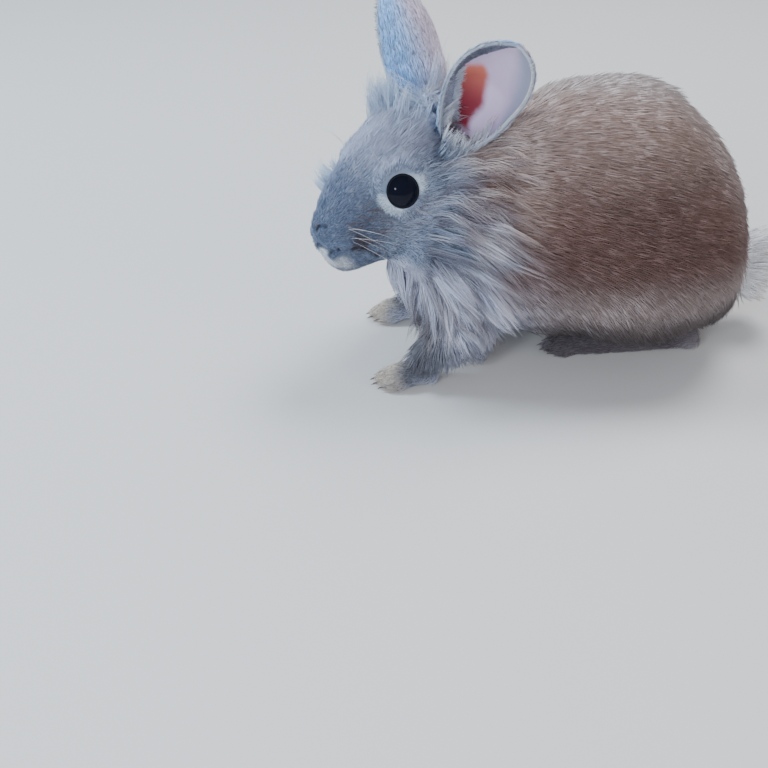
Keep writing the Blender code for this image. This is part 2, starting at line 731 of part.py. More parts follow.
def build():
    """Makes every piece of the rabbit and stands it on the floor."""
    clear_scene()
    rabbit = new_collection("lionhead_rabbit")
    helpers = new_collection("helpers", hidden=True)
    materials = {name: coat_material(name) for name in COLOURS}
    pieces = []

    def keep(obj, name, material):
        pieces.append(finish(obj, name, materials[material], rabbit))

    hide = fused("hide", body_masses(helpers) + head_masses(helpers), helpers, HIDE_VOXEL, 10)
    fine = thinned(hide, HEAD_HIDE_TRIANGLES, "fine", helpers)
    coarse = thinned(hide, BODY_HIDE_TRIANGLES, "coarse", helpers)
    drop(hide)

    head = cut_head(fine, helpers)
    neck = evaluated_copy(coarse, "neck", helpers)
    apply_boolean(neck, [region("neck_part", [NECK_CUT], helpers, grow=-GAP / 2)], "INTERSECT")
    apply_boolean(neck, [region("head_room", HEAD_CUT, helpers, grow=GAP)], "DIFFERENCE")
    keep_largest(neck)
    torso = evaluated_copy(coarse, "torso", helpers)
    behind_neck = region("torso_part", [(NECK_CUT[0], -NECK_CUT[1])], helpers, grow=-GAP / 2)
    apply_boolean(torso, [behind_neck], "INTERSECT")
    apply_boolean(torso, [region("head_room", HEAD_CUT, helpers, grow=GAP)], "DIFFERENCE")
    thighs = {}
    for name, side in SIDES:
        planes = [(Vector((x * side, y, z)) * MM, Vector((a * side, b, c))) for (x, y, z), (a, b, c) in THIGH]
        thighs[name] = evaluated_copy(torso, "thigh_" + name, helpers)
        inside = region("thigh_part", planes, helpers)
        around = region("thigh_room", planes, helpers, grow=GAP)
        keep_largest(apply_boolean(thighs[name], [inside], "INTERSECT"))
        apply_boolean(torso, [around], "DIFFERENCE")
    keep_largest(torso)

    tail = ball("tail", TAIL_CENTRE, TAIL_RADII, helpers, segments=16, rings=10)
    hairs = coat_locks(tail, surface_of(tail), tail_lie, TAIL_LOCKS, 7, helpers)
    clear_of(tail, [coarse], GAP, helpers)
    add_locks(tail, hairs, [coarse], [], [], helpers)
    ears = {}
    legs = {}
    for name, side in SIDES:
        ears[name] = clear_of(ear_shell(name, helpers), [fine, coarse], GAP, helpers)
        legs[name] = clear_of(foreleg(name, side, helpers), [coarse], GAP, helpers)
        size = (FOREPAW_LENGTH, FOREPAW_WIDTH, FOREPAW_HEIGHT)
        paw = paw_block("forepaw", FOREPAWS[name], size, 0, helpers)
        clear_of(legs[name], [paw], GAP, helpers)
        size = (HIND_FOOT_LENGTH, HIND_FOOT_WIDTH, HIND_FOOT_HEIGHT)
        toes = Vector((HIND_FOOT_X * side, HIND_TOES_Y, 0))
        foot = paw_block("hind_foot", toes, size, math.radians(HIND_FOOT_TURN * side), helpers)
        clear_of(foot, [coarse], GAP, helpers)
        centre = EYE_CENTRE * Vector((side, 1, 1))
        eye = ball("eye", centre, Vector((1, 1, 1)) * EYE_RADIUS, helpers, HEAD_PLACE, 18, 11)
        keep(eye, "eye_" + name, "eye_dark")
        keep(paw, "forepaw_" + name, "fur_pale")
        keep(foot, "hind_foot_" + name, "fur_pale")
    ear_roots = [surface_of(ear) for ear in ears.values()]
    off_ears = lambda point: all(root.find_nearest(point)[3] > EAR_ROOM for root in ear_roots)
    mane = coat_locks(neck, surface_of(coarse), mane_lie, MANE, 3, helpers, off_ears)
    leg_rooms = [foreleg(name, side, helpers, LEG_ROOM) for name, side in SIDES]
    add_locks(neck, mane, [head, torso, *thighs.values()], ears.values(), leg_rooms, helpers)
    for name, _ in SIDES:
        keep(legs[name], "foreleg_" + name, "fur_pale")
        keep(thighs[name], "thigh_" + name, "fur_fawn")
    crown = coat_locks(head, surface_of(fine), crown_lie, CROWN, 5, helpers, on_crown)
    add_locks(head, crown, [neck], ears.values(), [], helpers)
    keep(head, "head", "fur_grey")
    for name, ear in ears.items():
        keep(ear, "ear_" + name, "ear_skin")
    keep(neck, "neck", "fur_pale")
    keep(torso, "torso", "fur_fawn")
    keep(tail, "tail", "fur_white")
    drop(fine, coarse)
    root = bpy.data.objects.new("lionhead_rabbit_root", None)
    rabbit.objects.link(root)
    stand_on_floor(pieces, root)
    bpy.data.collections.remove(helpers)


build()
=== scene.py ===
# %% [markdown]
# # A lionhead rabbit
# A life-size model of a crouching rabbit with a mane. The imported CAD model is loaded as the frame,
# one smooth skin is grown over its flesh, and a coat of thin solid tufts is laid on that skin.

import json
import math

import bmesh
import bpy
import numpy as np
from mathutils import Matrix, Vector
from mathutils.bvhtree import BVHTree

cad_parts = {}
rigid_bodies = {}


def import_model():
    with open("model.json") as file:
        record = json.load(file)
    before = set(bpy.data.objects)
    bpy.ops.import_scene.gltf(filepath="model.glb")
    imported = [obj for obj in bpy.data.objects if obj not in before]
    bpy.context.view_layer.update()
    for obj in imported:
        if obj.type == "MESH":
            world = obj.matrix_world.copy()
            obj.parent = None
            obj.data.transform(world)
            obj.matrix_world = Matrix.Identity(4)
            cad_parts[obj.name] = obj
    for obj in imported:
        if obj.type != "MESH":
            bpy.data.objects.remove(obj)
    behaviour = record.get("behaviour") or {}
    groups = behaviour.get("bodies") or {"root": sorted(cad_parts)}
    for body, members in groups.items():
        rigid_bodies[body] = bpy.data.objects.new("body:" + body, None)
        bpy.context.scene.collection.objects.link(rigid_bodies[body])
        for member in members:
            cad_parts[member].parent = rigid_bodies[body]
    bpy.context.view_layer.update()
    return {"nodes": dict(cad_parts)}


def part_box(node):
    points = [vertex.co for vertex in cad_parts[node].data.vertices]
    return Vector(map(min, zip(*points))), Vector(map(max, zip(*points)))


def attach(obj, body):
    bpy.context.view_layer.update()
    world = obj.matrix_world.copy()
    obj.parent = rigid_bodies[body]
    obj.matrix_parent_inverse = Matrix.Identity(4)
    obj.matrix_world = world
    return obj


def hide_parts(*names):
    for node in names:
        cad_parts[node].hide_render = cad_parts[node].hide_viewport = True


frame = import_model()
MM = 0.001
SIDES = (("left", 1), ("right", -1))

HEAD_ROOT = Vector((-12, -20, 95)) * MM
HEAD_TURNS = ((28.5, "Z"), (7, "X"), (-4.5, "Y"))
EYE_CENTRE = Vector((15.8, -38.5, 8)) * MM
EYE_AXIS = Vector((0.90, -0.28, 0.30)).normalized()
EYE_SHOWN, EYE_PUSH = 9.4 * MM, 0.5 * MM

EAR_LENGTH, EAR_WALL = 62 * MM, 1.5 * MM
# root, run, opening and spread of each ear, in the head's frame
EARS = {
    "left": (Vector((14.5, -4, 20)) * MM, Vector((0.685, 0.117, 0.719)), Vector((0.75, -0.67, 0)), 1.0),
    "right": (Vector((-13, -2, 21)) * MM, Vector((-0.3, 0.04, 0.95)), Vector((-1, 0.05, 0)), 0.85),
}

turned = Matrix.Identity(4)
for degrees, axis in HEAD_TURNS:
    turned = turned @ Matrix.Rotation(math.radians(degrees), 4, axis)
head_in_body = Matrix.Translation(HEAD_ROOT) @ turned
low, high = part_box("eye_left")
SHIFT = (Vector(low) + Vector(high)) / 2 - head_in_body @ EYE_CENTRE
HEAD = Matrix.Translation(SHIFT) @ head_in_body


def body(x, y, z):
    """A point of the body's own frame, in mm, as a place in the scene."""
    return SHIFT + Vector((x, y, z)) * MM


def face(x, y, z):
    """A point of the head's own frame, in mm: its origin is the back of the skull, -Y the nose."""
    return HEAD @ (Vector((x, y, z)) * MM)


print("shift in mm", [round(v / MM, 3) for v in SHIFT], "nodes", len(frame["nodes"]))

# %% [markdown]
# The camera stands above the rabbit's left side and looks down, as in the photo. It is set from
# its bearing, height, roll and distance.

# %% Camera
CAMERA_BEARING, CAMERA_HEIGHT, CAMERA_ROLL = 1.5186, 0.6487, -0.0441
CAMERA_DISTANCE = 417.0858 * MM
CAMERA_LENS, SENSOR_WIDTH = 46.875, 36
CAMERA_TARGET = body(98.2655, -62.2339, 50)

back = Vector(
    (
        math.sin(CAMERA_BEARING) * math.cos(CAMERA_HEIGHT),
        -math.cos(CAMERA_BEARING) * math.cos(CAMERA_HEIGHT),
        math.sin(CAMERA_HEIGHT),
    )
)
level = (-back).cross(Vector((0, 0, 1))).normalized()
upward = level.cross(-back)
tilt_cos, tilt_sin = math.cos(CAMERA_ROLL), math.sin(CAMERA_ROLL)
sideways = level * tilt_cos + upward * tilt_sin
upright = upward * tilt_cos - level * tilt_sin
camera_data = bpy.data.cameras.new("camera")
camera_data.lens = CAMERA_LENS
camera_data.sensor_width = SENSOR_WIDTH
camera_data.clip_start = 0.01
camera = bpy.data.objects.new("camera", camera_data)
bpy.context.scene.collection.objects.link(camera)
turn = Matrix((sideways, upright, back)).transposed().to_4x4()
camera.matrix_world = Matrix.Translation(CAMERA_TARGET + back * CAMERA_DISTANCE) @ turn
bpy.context.scene.camera = camera
print("camera at", [round(v, 3) for v in camera.matrix_world.translation])

# %% [markdown]
# Shaders and Geometry Nodes trees are both built through one small class. A Value wraps a socket,
# so that plain sums in Python make the maths nodes.


# %% Node building
class Value:
    """An output socket that can be used in sums."""

    def __init__(self, graph, socket):
        self.graph, self.socket = graph, socket

    def math(self, operation, *others, clamp=False):
        node = self.graph.node("ShaderNodeMath", {"operation": operation, "use_clamp": clamp})
        for slot, value in enumerate((self, *others)):
            self.graph.feed(node.inputs[slot], value)
        return self.graph.out(node)

    def __add__(self, other):
        return self.math("ADD", other)

    def __radd__(self, other):
        return self.math("ADD", other)

    def __mul__(self, other):
        return self.math("MULTIPLY", other)

    def __rmul__(self, other):
        return self.math("MULTIPLY", other)

    def __sub__(self, other):
        return self.math("SUBTRACT", other)

    def __rsub__(self, other):
        return (self * -1.0).math("ADD", other)

    def __pow__(self, other):
        return self.math("POWER", other)

    def clamped(self):
        return self.math("ADD", 0.0, clamp=True)

    def step(self, start, end):
        """0 at start and 1 at end, eased at both ends."""
        inputs = {"Value": self, "From Min": start, "From Max": end}
        return self.graph.value("ShaderNodeMapRange", {"interpolation_type": "SMOOTHSTEP"}, inputs)

    def vector(self, operation, other=None, output="Vector", scale=None):
        node = self.graph.node("ShaderNodeVectorMath", {"operation": operation})
        self.graph.feed(node.inputs[0], self)
        if other is not None:
            self.graph.feed(node.inputs[1], other)
        if scale is not None:
            self.graph.feed(node.inputs["Scale"], scale)
        return self.graph.out(node, output)


class Graph:
    """Makes the nodes of one tree."""

    def __init__(self, tree):
        self.tree = tree

    def feed(self, socket, value):
        if isinstance(value, Value):
            value = value.socket
        if isinstance(value, bpy.types.NodeSocket):
            self.tree.links.new(value, socket)
        else:
            socket.default_value = value

    def node(self, kind, settings=None, inputs=None):
        made = self.tree.nodes.new(kind)
        for name, value in (settings or {}).items():
            setattr(made, name, value)
        for name, value in (inputs or {}).items():
            self.feed(made.inputs[name], value)
        return made

    def out(self, node, name=0):
        return Value(self, node.outputs[name])

    def value(self, kind, settings=None, inputs=None):
        """The first output of a new node."""
        return self.out(self.node(kind, settings, inputs))

    def place(self):
        """The Object coordinates of a shader, or the position of a geometry tree."""
        if self.tree.bl_idname == "ShaderNodeTree":
            return self.out(self.node("ShaderNodeTexCoord"), "Object")
        return self.value("GeometryNodeInputPosition")

    def noise(self, place, scale, detail, output=0):
        """Noise at a place, as a value or, with the output Color, as three of them."""
        inputs = {"Vector": place, "Scale": scale, "Detail": detail}
        return self.out(self.node("ShaderNodeTexNoise", None, inputs), output)

    def mix(self, share, first, second):
        """Colour first where share is 0, second where it is 1."""
        node = self.node("ShaderNodeMix", {"data_type": "RGBA"})
        self.feed(node.inputs["Factor"], share)
        colours = [socket for socket in node.inputs if socket.type == "RGBA"]
        self.feed(colours[0], first)
        self.feed(colours[1], second)
        return Value(self, next(socket for socket in node.outputs if socket.type == "RGBA"))


# %% [markdown]
# The markings, with painted shade and painted rim light among them, are painted in space, so that skin
# and coat wear the same ones. Each mask is a soft ball round a point of the body, with its edge roughened by
# noise.


# %% Markings and painted light
FAWN, FAWN_DARK, FAWN_LIGHT = (0.285, 0.17, 0.148, 1), (0.19, 0.11, 0.097, 1), (0.50, 0.385, 0.35, 1)
SLATE, SLATE_DARK, SLATE_LIGHT = (0.25, 0.31, 0.43, 1), (0.14, 0.19, 0.30, 1), (0.38, 0.43, 0.57, 1)
LAVENDER, CREAM, WHITE = (0.59, 0.62, 0.77, 1), (0.66, 0.58, 0.50, 1), (0.78, 0.83, 0.90, 1)
# Of the next row, the last colour is painted shade in the mouth, the nostrils and the split lip.
BELLY, RUST, MOUTH_SHADE = (0.48, 0.44, 0.50, 1), (0.22, 0.12, 0.085, 1), (0.05, 0.035, 0.045, 1)
# Of the next row, the dark last colour is painted shade on the forelegs.
# Of the next row, the dark red middle colour is the ear canal's skin with painted shade in its opening.
ASH, CANAL_SHADE, FORELEG_SHADE = (0.60, 0.56, 0.57, 1), (0.08, 0.015, 0.02, 1), (0.12, 0.12, 0.145, 1)
SAND, MAUVE, TAN = (0.56, 0.475, 0.47, 1), (0.24, 0.165, 0.175, 1), (0.42, 0.30, 0.26, 1)
RING, CHEEK = (0.70, 0.81, 0.95, 1), (0.46, 0.55, 0.72, 1)
BLUSH, TIP = (0.80, 0.76, 0.82, 1), (0.85, 0.82, 0.82, 1)
# Of the next row, the last colour is a painted shadow under the belly, over the hind feet.
SHADE, SNOW, UNDERSIDE_SHADOW = (0.15, 0.125, 0.13, 1), (0.93, 0.93, 0.95, 1), (0.12, 0.10, 0.11, 1)
PALE, UMBER, SKY = (0.78, 0.71, 0.69, 1), (0.14, 0.095, 0.10, 1), (0.60, 0.74, 0.92, 1)
LIPS = (
    (0, -79, -10), (6, -77, -10), (11, -72, -9), (14.5, -66.5, -9.5), (16, -62, -12), (16.5, -57, -16.5))
SPLIT = ((0, -80, -4), (0, -80, -7), (0, -79, -10))
NOSTRIL = ((2.2, -79, -0.5), (4.0, -78, 1.2), (6.0, -76, 2.0))
head_node = frame["nodes"]["head"]
HEAD_SURFACE = BVHTree.FromPolygons(
    [head_node.matrix_world @ v.co for v in head_node.data.vertices],
    [tuple(p.vertices) for p in head_node.data.polygons])


def laid(line, sink=1.1):
    """A line of the head's frame laid on the CAD head, and sunk to the skin."""
    made = []
    for point in line:
        place, normal = HEAD_SURFACE.find_nearest(face(*point))[:2]
        made.append(tuple((HEAD.inverted() @ (place - normal * sink * MM)) / MM))
    return made


LIPS, SPLIT, NOSTRIL = laid(LIPS), laid(SPLIT), laid(NOSTRIL)


# Soft balls of colour on both sides: frame, place in mm, inner and outer radius in mm, share, colour
TRUNK_BALLS = (
    (body, (38, -2, 98), 12, 32, 0.85, TAN), (body, (24, 2, 112), 8, 24, 0.7, FAWN_LIGHT),
    (body, (36, -11, 99), 6, 19, 0.8, MAUVE), (body, (38, -20, 84), 8, 24, 0.55, TAN),
    # The first ball of the next row is painted shade on each foreleg.
    (body, (36, -50, 22), 12, 32, 0.9, FORELEG_SHADE), (face, (30, 2, 4), 4, 17, 0.6, RUST),
    # The second ball of the next row is a painted shadow under the belly, over the hind feet.
    (body, (30, -60, 5), 8, 17, 1, CREAM), (body, (14, 58, 2), 28, 48, 0.85, UNDERSIDE_SHADOW),
    # The next ball, in mauve, is a painted shadow in the gap between mane and flank.
    (body, (46, 8, 66), 8, 24, 0.4, MAUVE))
CHEEK_BALLS = (
    (face, (27, -30, -6), 8, 26, 0.6, SLATE_LIGHT), (face, (28, -20, 7), 7, 20, 0.4, CHEEK),
    (face, (22, -17, 17), 3, 10, 0.6, SLATE_DARK))
MANE_BALLS = (
    (body, (34, -11, 97), 5, 17, 0.75, MAUVE), (body, (46, -5, 84), 5, 15, 0.5, MAUVE),
    (body, (46, -9, 81), 5, 14, 0.6, BLUSH), (body, (42, -19, 84), 2, 9, 0.6, MAUVE),
    # The first ball of the next row, in mauve, is a painted shadow in the gap between mane and flank.
    (body, (48, 6, 67), 4, 13, 0.6, MAUVE), (body, (34, -2, 104), 3, 12, 0.85, RUST))
MUZZLE_BALLS = (
    # The second ball of the next row is painted shade at the corner of the mouth.
    (face, (16, -60, -3), 3, 10, 0.4, SLATE_DARK), (face, (15.4, -62.5, -9), 2.5, 6.5, 0.75, MOUTH_SHADE),
    (face, (8, -70, -18), 4, 9, 0.85, WHITE))
# The pale ring of each eye: how far out and aside its patches lie in mm, the way from the eye to
# each patch, and its inner and outer radius in mm
RING_OUT, RING_ASIDE = 4.7, 8.7
EYE_RING = (((0, 1, 0.1), 3, 6.5), ((0, -1, -0.3), 2.5, 5.5), ((0, -0.8, -1), 1.5, 5.5))


def markings_and_painted_light(graph):
    """The coat's colour at a place, painted shade and rim light included, without the light and dark of single
    hairs.
    """
    place = graph.place()
    broad = graph.noise(place, 70.0, 3.0, "Color")
    ragged = place.vector("ADD", broad.vector("SUBTRACT", (0.5, 0.5, 0.5)).vector("SCALE", scale=12 * MM))
    patchy = graph.noise(place, 30.0, 2.0)

    def near(point, inner, outer, where=ragged):
        """1 within inner mm of a point, 0 beyond outer mm."""
        away = where.vector("DISTANCE", tuple(point), "Value")
        return away.step(outer * MM, inner * MM)

    def beyond(point, direction, start, end, where=ragged):
        """0 before start mm along a direction from a point, 1 past end mm."""
        along = where.vector("SUBTRACT", tuple(point)).vector("DOT_PRODUCT", tuple(direction), "Value")
        return along.step(start * MM, end * MM)

    def below(start, end):
        """1 under a height in mm, 0 above the other one."""
        return 1 - beyond(body(0, 0, 0), up, start, end)

    def dab(colour, balls, sides=(1, -1)):
        """Lays soft balls of colour on both sides."""
        for side in sides:
            for frame_of, (x, y, z), inner, outer, share, paint in balls:
                colour = graph.mix(near(frame_of(x * side, y, z), inner, outer) * share, colour, paint)
        return colour

    forward = HEAD.to_3x3() @ Vector((0, -1, 0))
    crown = HEAD.to_3x3() @ Vector((0, 0, 1))
    up = Vector((0, 0, 1))
    colour = graph.mix(patchy.step(0.35, 0.65) * 0.6 + 0.3, FAWN_DARK, FAWN)
    colour = dab(colour, ((body, (54, 62, 78), 12, 46, 0.4, FAWN_DARK),), (1,))
    for share, paint in (
        (beyond(body(0, 0, 0), up, 84, 128) * 0.9, FAWN_LIGHT),
        # A pale band over the top of the back, on its far side: painted rim light.
        (beyond(body(0, 40, 0), Vector((-0.5, 0.25, 0.83)), 97, 122) * 0.8, ASH),
        (beyond(body(0, 98, 66), Vector((0, 0.85, 0.5)), 8, 34) * 0.6, ASH),
        (below(40, 68) * 0.8, SAND),
        (below(27, 45) * 0.9, SHADE),
        (near(body(46, 6, 34), 12, 36) * 0.5, BELLY),
        (below(8, 18) * 0.4, BELLY),
        (1 - beyond(body(0, 0, 60), Vector((0, 1, 0.35)), -12, 12), LAVENDER),
        (near(body(1, 140, 34), 20, 31), SNOW),
    ):
        colour = graph.mix(share, colour, paint)
    colour = dab(colour, TRUNK_BALLS)
    on_head = beyond(face(0, -10, -4), forward, -5, 9) * beyond(face(0, -45, -26), crown, -8, 6)
    slate = graph.mix(beyond(face(0, 0, 14), crown, -8, 18), SLATE, SLATE_LIGHT)
    slate = graph.mix(beyond(face(0, -50, 0), forward, -4, 14) * 0.9, slate, SLATE_DARK)
    colour = graph.mix(on_head, colour, dab(slate, CHEEK_BALLS))
    colour = dab(colour, MANE_BALLS)
    for _, side in SIDES:
        mirror = Vector((side, 1, 1))
        eye, axis = EYE_CENTRE * mirror, EYE_AXIS * mirror
        for direction, inner, outer in EYE_RING:
            aside = Vector(direction)
            aside = (aside - axis * aside.dot(axis)).normalized()
            spot = HEAD @ (eye + (axis * RING_OUT + aside * RING_ASIDE) * MM)
            colour = graph.mix(near(spot, inner, outer) * 0.9, colour, RING)
        colour = dab(colour, MUZZLE_BALLS, (side,))
    colour = graph.mix(near(face(0, -74, -16), 4, 8), colour, WHITE)
    # Dark lines along the lips, the nostrils and the split lip: painted shade in these creases.
    for line, inner, outer in ((LIPS, 0.7, 2.4), (NOSTRIL, 0.4, 1.5), (SPLIT, 0.2, 1.2)):
        for x, y, z in line:
            for mirrored in (x, -x):
                colour = graph.mix(near(face(mirrored, y, z), inner, outer, place) * 0.9, colour, MOUTH_SHADE)
    # Nearly black red at the root of each ear: the canal's red skin with painted shade in its opening.
    for root, run, _, _ in EARS.values():
        colour = graph.mix(near(HEAD @ (root + run.normalized() * 4 * MM), 4, 6), colour, CANAL_SHADE)
    return colour


def attribute(graph, name):
    """A value stored on the mesh."""
    return graph.out(graph.node("ShaderNodeAttribute", {"attribute_name": name}), "Fac")


def new_material(name, roughness, specular):
    """A material, its graph and its shader."""
    material = bpy.data.materials.new(name)
    material.use_nodes = True
    shader = material.node_tree.nodes["Principled BSDF"]
    shader.inputs["Roughness"].default_value = roughness
    shader.inputs["Specular IOR Level"].default_value = specular
    return material, Graph(material.node_tree), shader


def coat_material(name, tips=0.08, roots=0.32, roughness=0.62, tint=markings_and_painted_light, light=PALE):
    """A coat: the colours of the coat, with painted shade at the roots and lighter tips, each lock a little
    apart.
    """
    material, graph, shader = new_material(name, roughness, 0.3)
    colour = tint(graph)
    along, tone, hue = (attribute(graph, label) for label in ("along", "tone", "hue"))
    colour = graph.mix(hue.clamped(), colour, light)
    colour = graph.mix((hue * -1.0).clamped(), colour, UMBER)
    # Darker towards the root of each hair: painted shade deep in the coat.
    colour = graph.mix((1 - along).clamped() * roots, colour, colour.vector("SCALE", scale=0.35))
    colour = graph.mix(along * tone * tips, colour, TIP)
    colour = colour.vector("SCALE", scale=tone * 0.28 + 0.86)
    graph.feed(shader.inputs["Base Color"], colour)
    return material


def skin_material(name):
    """The hide under the coat: the same colours, darkened as painted shade where it is seen between hairs."""
    material, graph, shader = new_material(name, 0.9, 0.15)
    # The scale below is painted shade under the coat.
    graph.feed(shader.inputs["Base Color"], markings_and_painted_light(graph).vector("SCALE", scale=0.65))
    return material


def plain_material(name, colour, roughness, specular=0.5):
    """One colour all over."""
    material, _, shader = new_material(name, roughness, specular)
    shader.inputs["Base Color"].default_value = (*colour, 1)
    return material


HIDE = skin_material("hide")
FUR = coat_material("fur")
MANE_FUR = coat_material("mane_fur", tips=0.18, roots=0.2, roughness=0.6)
CREST_FUR = coat_material("crest_fur", tips=0.3, roots=0.2, roughness=0.6, light=SKY)
TAIL_FUR = coat_material("tail_fur", tips=0.4, roots=0.08, roughness=0.6, light=SNOW)
print("materials", len(bpy.data.materials))

# %% [markdown]
# The skin is one closed surface over all the flesh. Merged copies of the flesh nodes are joined
# with a smooth core for the neck, which the CAD shows under its locks, and are fused with small
# voxels. A real animal has no seams where its named parts meet, so the skin has none either.


# %% Skin masses
def through(rows, steps):
    """Rows of numbers joined by a Catmull-Rom curve."""
    rows = np.array(rows, float)
    padded = np.vstack([2 * rows[0] - rows[1], rows, 2 * rows[-1] - rows[-2]])
    made = []
    for a, b, c, d in zip(padded, padded[1:], padded[2:], padded[3:]):
        for t in np.arange(steps) / steps:
            made.append(b + 0.5 * t * (c - a + t * (2 * a - 5 * b + 4 * c - d + t * (3 * (b - c) + d - a))))
    return np.array(made + [rows[-1]])


def add_rings(bm, rings):
    """A closed form over a row of rings, each a list of points."""
    loops = [[bm.verts.new(point) for point in ring] for ring in rings]
    count = len(loops[0])
    for near, far in zip(loops, loops[1:]):
        for k in range(count):
            bm.faces.new((near[k], near[(k + 1) % count], far[(k + 1) % count], far[k]))
    bm.faces.new(loops[0])
    bm.faces.new(loops[-1])


def add_ball(bm, centre, radii, place=Matrix()):
    """An ellipsoid."""
    size = Matrix.Diagonal((*(r * MM for r in radii), 1))
    matrix = Matrix.Translation(centre) @ place @ size
    bmesh.ops.create_uvsphere(bm, u_segments=28, v_segments=18, radius=1, matrix=matrix)


def add_node(bm, name):
    """The merged surface of a CAD node."""
    node = frame["nodes"][name]
    one = bmesh.new()
    one.from_mesh(node.data)
    one.transform(node.matrix_world)
    bmesh.ops.remove_doubles(one, verts=one.verts, dist=0.002 * MM)
    for vert in one.verts:
        vert.co += vert.normal * 0.35 * MM
    mesh = bpy.data.meshes.new(name)
    one.to_mesh(mesh)
    one.free()
    bm.from_mesh(mesh)
    bpy.data.meshes.remove(mesh)


FLESH = ["head", "torso"] + [
    part + name for part in ("thigh_", "foreleg_", "forepaw_", "hind_foot_") for name, _ in SIDES
]
# Front of the trunk under the mane: y, top, bottom, widest height, half width
CHEST = ((-49, 74, 46, 60, 12), (-43, 92, 33, 60, 27), (-30, 107, 23, 62, 37), (-8, 119, 16, 64, 45),
         (18, 128, 12, 64, 50), (34, 129, 12, 64, 50))

masses = bmesh.new()
for name in FLESH:
    add_node(masses, name)
rings = []
for y, top, bottom, middle, half in through(CHEST, 3):
    ring = []
    for k in range(28):
        turn = math.tau * k / 28
        reach = (top - middle) if math.sin(turn) > 0 else (middle - bottom)
        ring.append(body(half * math.cos(turn), y, middle + reach * math.sin(turn)))
    rings.append(ring)
add_rings(masses, rings)
nape = (body(0, 22, 88), body(-6, 0, 89), face(0, -8, -6), face(0, -20, -6))
for start, end, first, last in zip(nape, nape[1:], (33, 32, 25), (32, 25, 23)):
    for k in range(7):
        radius = first + (last - first) * k / 6
        add_ball(masses, start.lerp(end, k / 6), (radius, radius, radius))
add_ball(masses, body(2, -38, 62), (25, 18, 25))
add_ball(masses, body(1, 126, 36), (12, 14, 16))
for _, side in SIDES:
    add_ball(masses, body(24 * side, -22, 58), (19, 24, 33))
    add_ball(masses, HEAD @ (EYE_CENTRE * Vector((side, 1, 1))), (8.6, 8.6, 8.6))
bmesh.ops.recalc_face_normals(masses, faces=masses.faces)
mesh = bpy.data.meshes.new("skin")
masses.to_mesh(mesh)
masses.free()
skin = bpy.data.objects.new("skin", mesh)
bpy.context.scene.collection.objects.link(skin)
print("skin masses", len(mesh.polygons))

# %% [markdown]
# Voxels fuse the masses, and a few rounds of smoothing take their steps away. The hide then moves
# in by the depth of the coat: little on the face and feet, more on the flanks, most under the mane.
# On top of the back it stays out, because the coat lies flat there and the back is high.

# %% Skin surface
SKIN_VOXEL = 1.3 * MM
remesh = skin.modifiers.new("fuse", "REMESH")
remesh.mode = "VOXEL"
remesh.voxel_size = SKIN_VOXEL
smooth = skin.modifiers.new("smooth", "SMOOTH")
smooth.factor = 0.5
smooth.iterations = 10
bpy.context.view_layer.update()
fused = bpy.data.meshes.new_from_object(skin.evaluated_get(bpy.context.evaluated_depsgraph_get()))
skin.modifiers.clear()
skin.data = fused
fused.name = "skin"

HEAD_TURN = np.array(HEAD.to_3x3())
HEAD_PLACE = np.array(HEAD.translation)


def in_body(points):
    """Places in the body's frame, in mm."""
    return (points - np.array(SHIFT)) / MM


def in_head(points):
    """Places in the head's frame, in mm."""
    return (points - HEAD_PLACE) @ HEAD_TURN / MM


def ease(values, start, end):
    """0 at start and 1 at end, eased at both ends."""
    t = np.clip((np.asarray(values, float) - start) / (end - start), 0, 1)
    return t * t * (3 - 2 * t)


def vectors_of(mesh, kind):
    """Vertex places or normals as an array."""
    source = mesh.vertices if kind == "co" else mesh.vertex_normals
    values = np.empty(len(source) * 3)
    source.foreach_get("co" if kind == "co" else "vector", values)
    return values.reshape(-1, 3)


points = vectors_of(skin.data, "co")
normals = vectors_of(skin.data, "normal")
bx, by, bz = in_body(points).T
hx, hy, hz = in_head(points).T
on_head = ease(-hy, 6, 22) * ease(hz, -36, -24) * ease(-np.abs(hx), -34, -29)
muzzle = on_head * ease(-hy, 44, 62)
low_parts = ease(-bz, -22, -8)
mane_zone = (1 - on_head) * ease(-by, -22, -4) * (1 - low_parts)
hump = ease(by, 4, 34) * (1 - ease(by, 66, 100)) * ease(bz, 92, 116) * (1 - on_head)
depth = 2.6 - 1.4 * on_head - 0.5 * muzzle - 3.2 * hump
depth = depth * (1 - low_parts) + 0.9 * low_parts + 1.4 * mane_zone
for _, side in SIDES:
    eye = EYE_CENTRE * Vector((side, 1, 1)) / MM
    away = np.linalg.norm(np.stack([hx, hy, hz], 1) - np.array(eye), axis=1)
    depth = np.where(away < 13, np.minimum(depth, 0.4), depth)
points = points - normals * depth[:, None] * MM
for _, side in SIDES:
    mirror = Vector((side, 1, 1))
    axis = HEAD.to_3x3() @ (EYE_AXIS * mirror)
    centre = np.array(HEAD @ (EYE_CENTRE * mirror) + axis * EYE_PUSH)
    out = points - centre
    away = np.linalg.norm(out, axis=1)
    open_share = ease(out @ np.array(axis) / np.maximum(away, 1e-9), 0.58, 0.68) * (away < 15 * MM)
    target = centre + out / np.maximum(away, 1e-9)[:, None] * (EYE_SHOWN - 0.7 * MM)
    points = points + (target - points) * open_share[:, None]
points[:, 2] = np.maximum(points[:, 2], 0.4 * MM)
skin.data.vertices.foreach_set("co", points.ravel())
skin.data.update()
skin.data.materials.clear()
skin.data.materials.append(HIDE)
print("skin triangles", sum(len(p.vertices) - 2 for p in skin.data.polygons))

# %% [markdown]
# The mouth and the nostrils are too fine for the voxels. The muzzle's faces are divided, and the
# points near each line are moved in, with the lips a little raised beside them.

# %% Mouth and nostrils
FINE_MUZZLE = 52


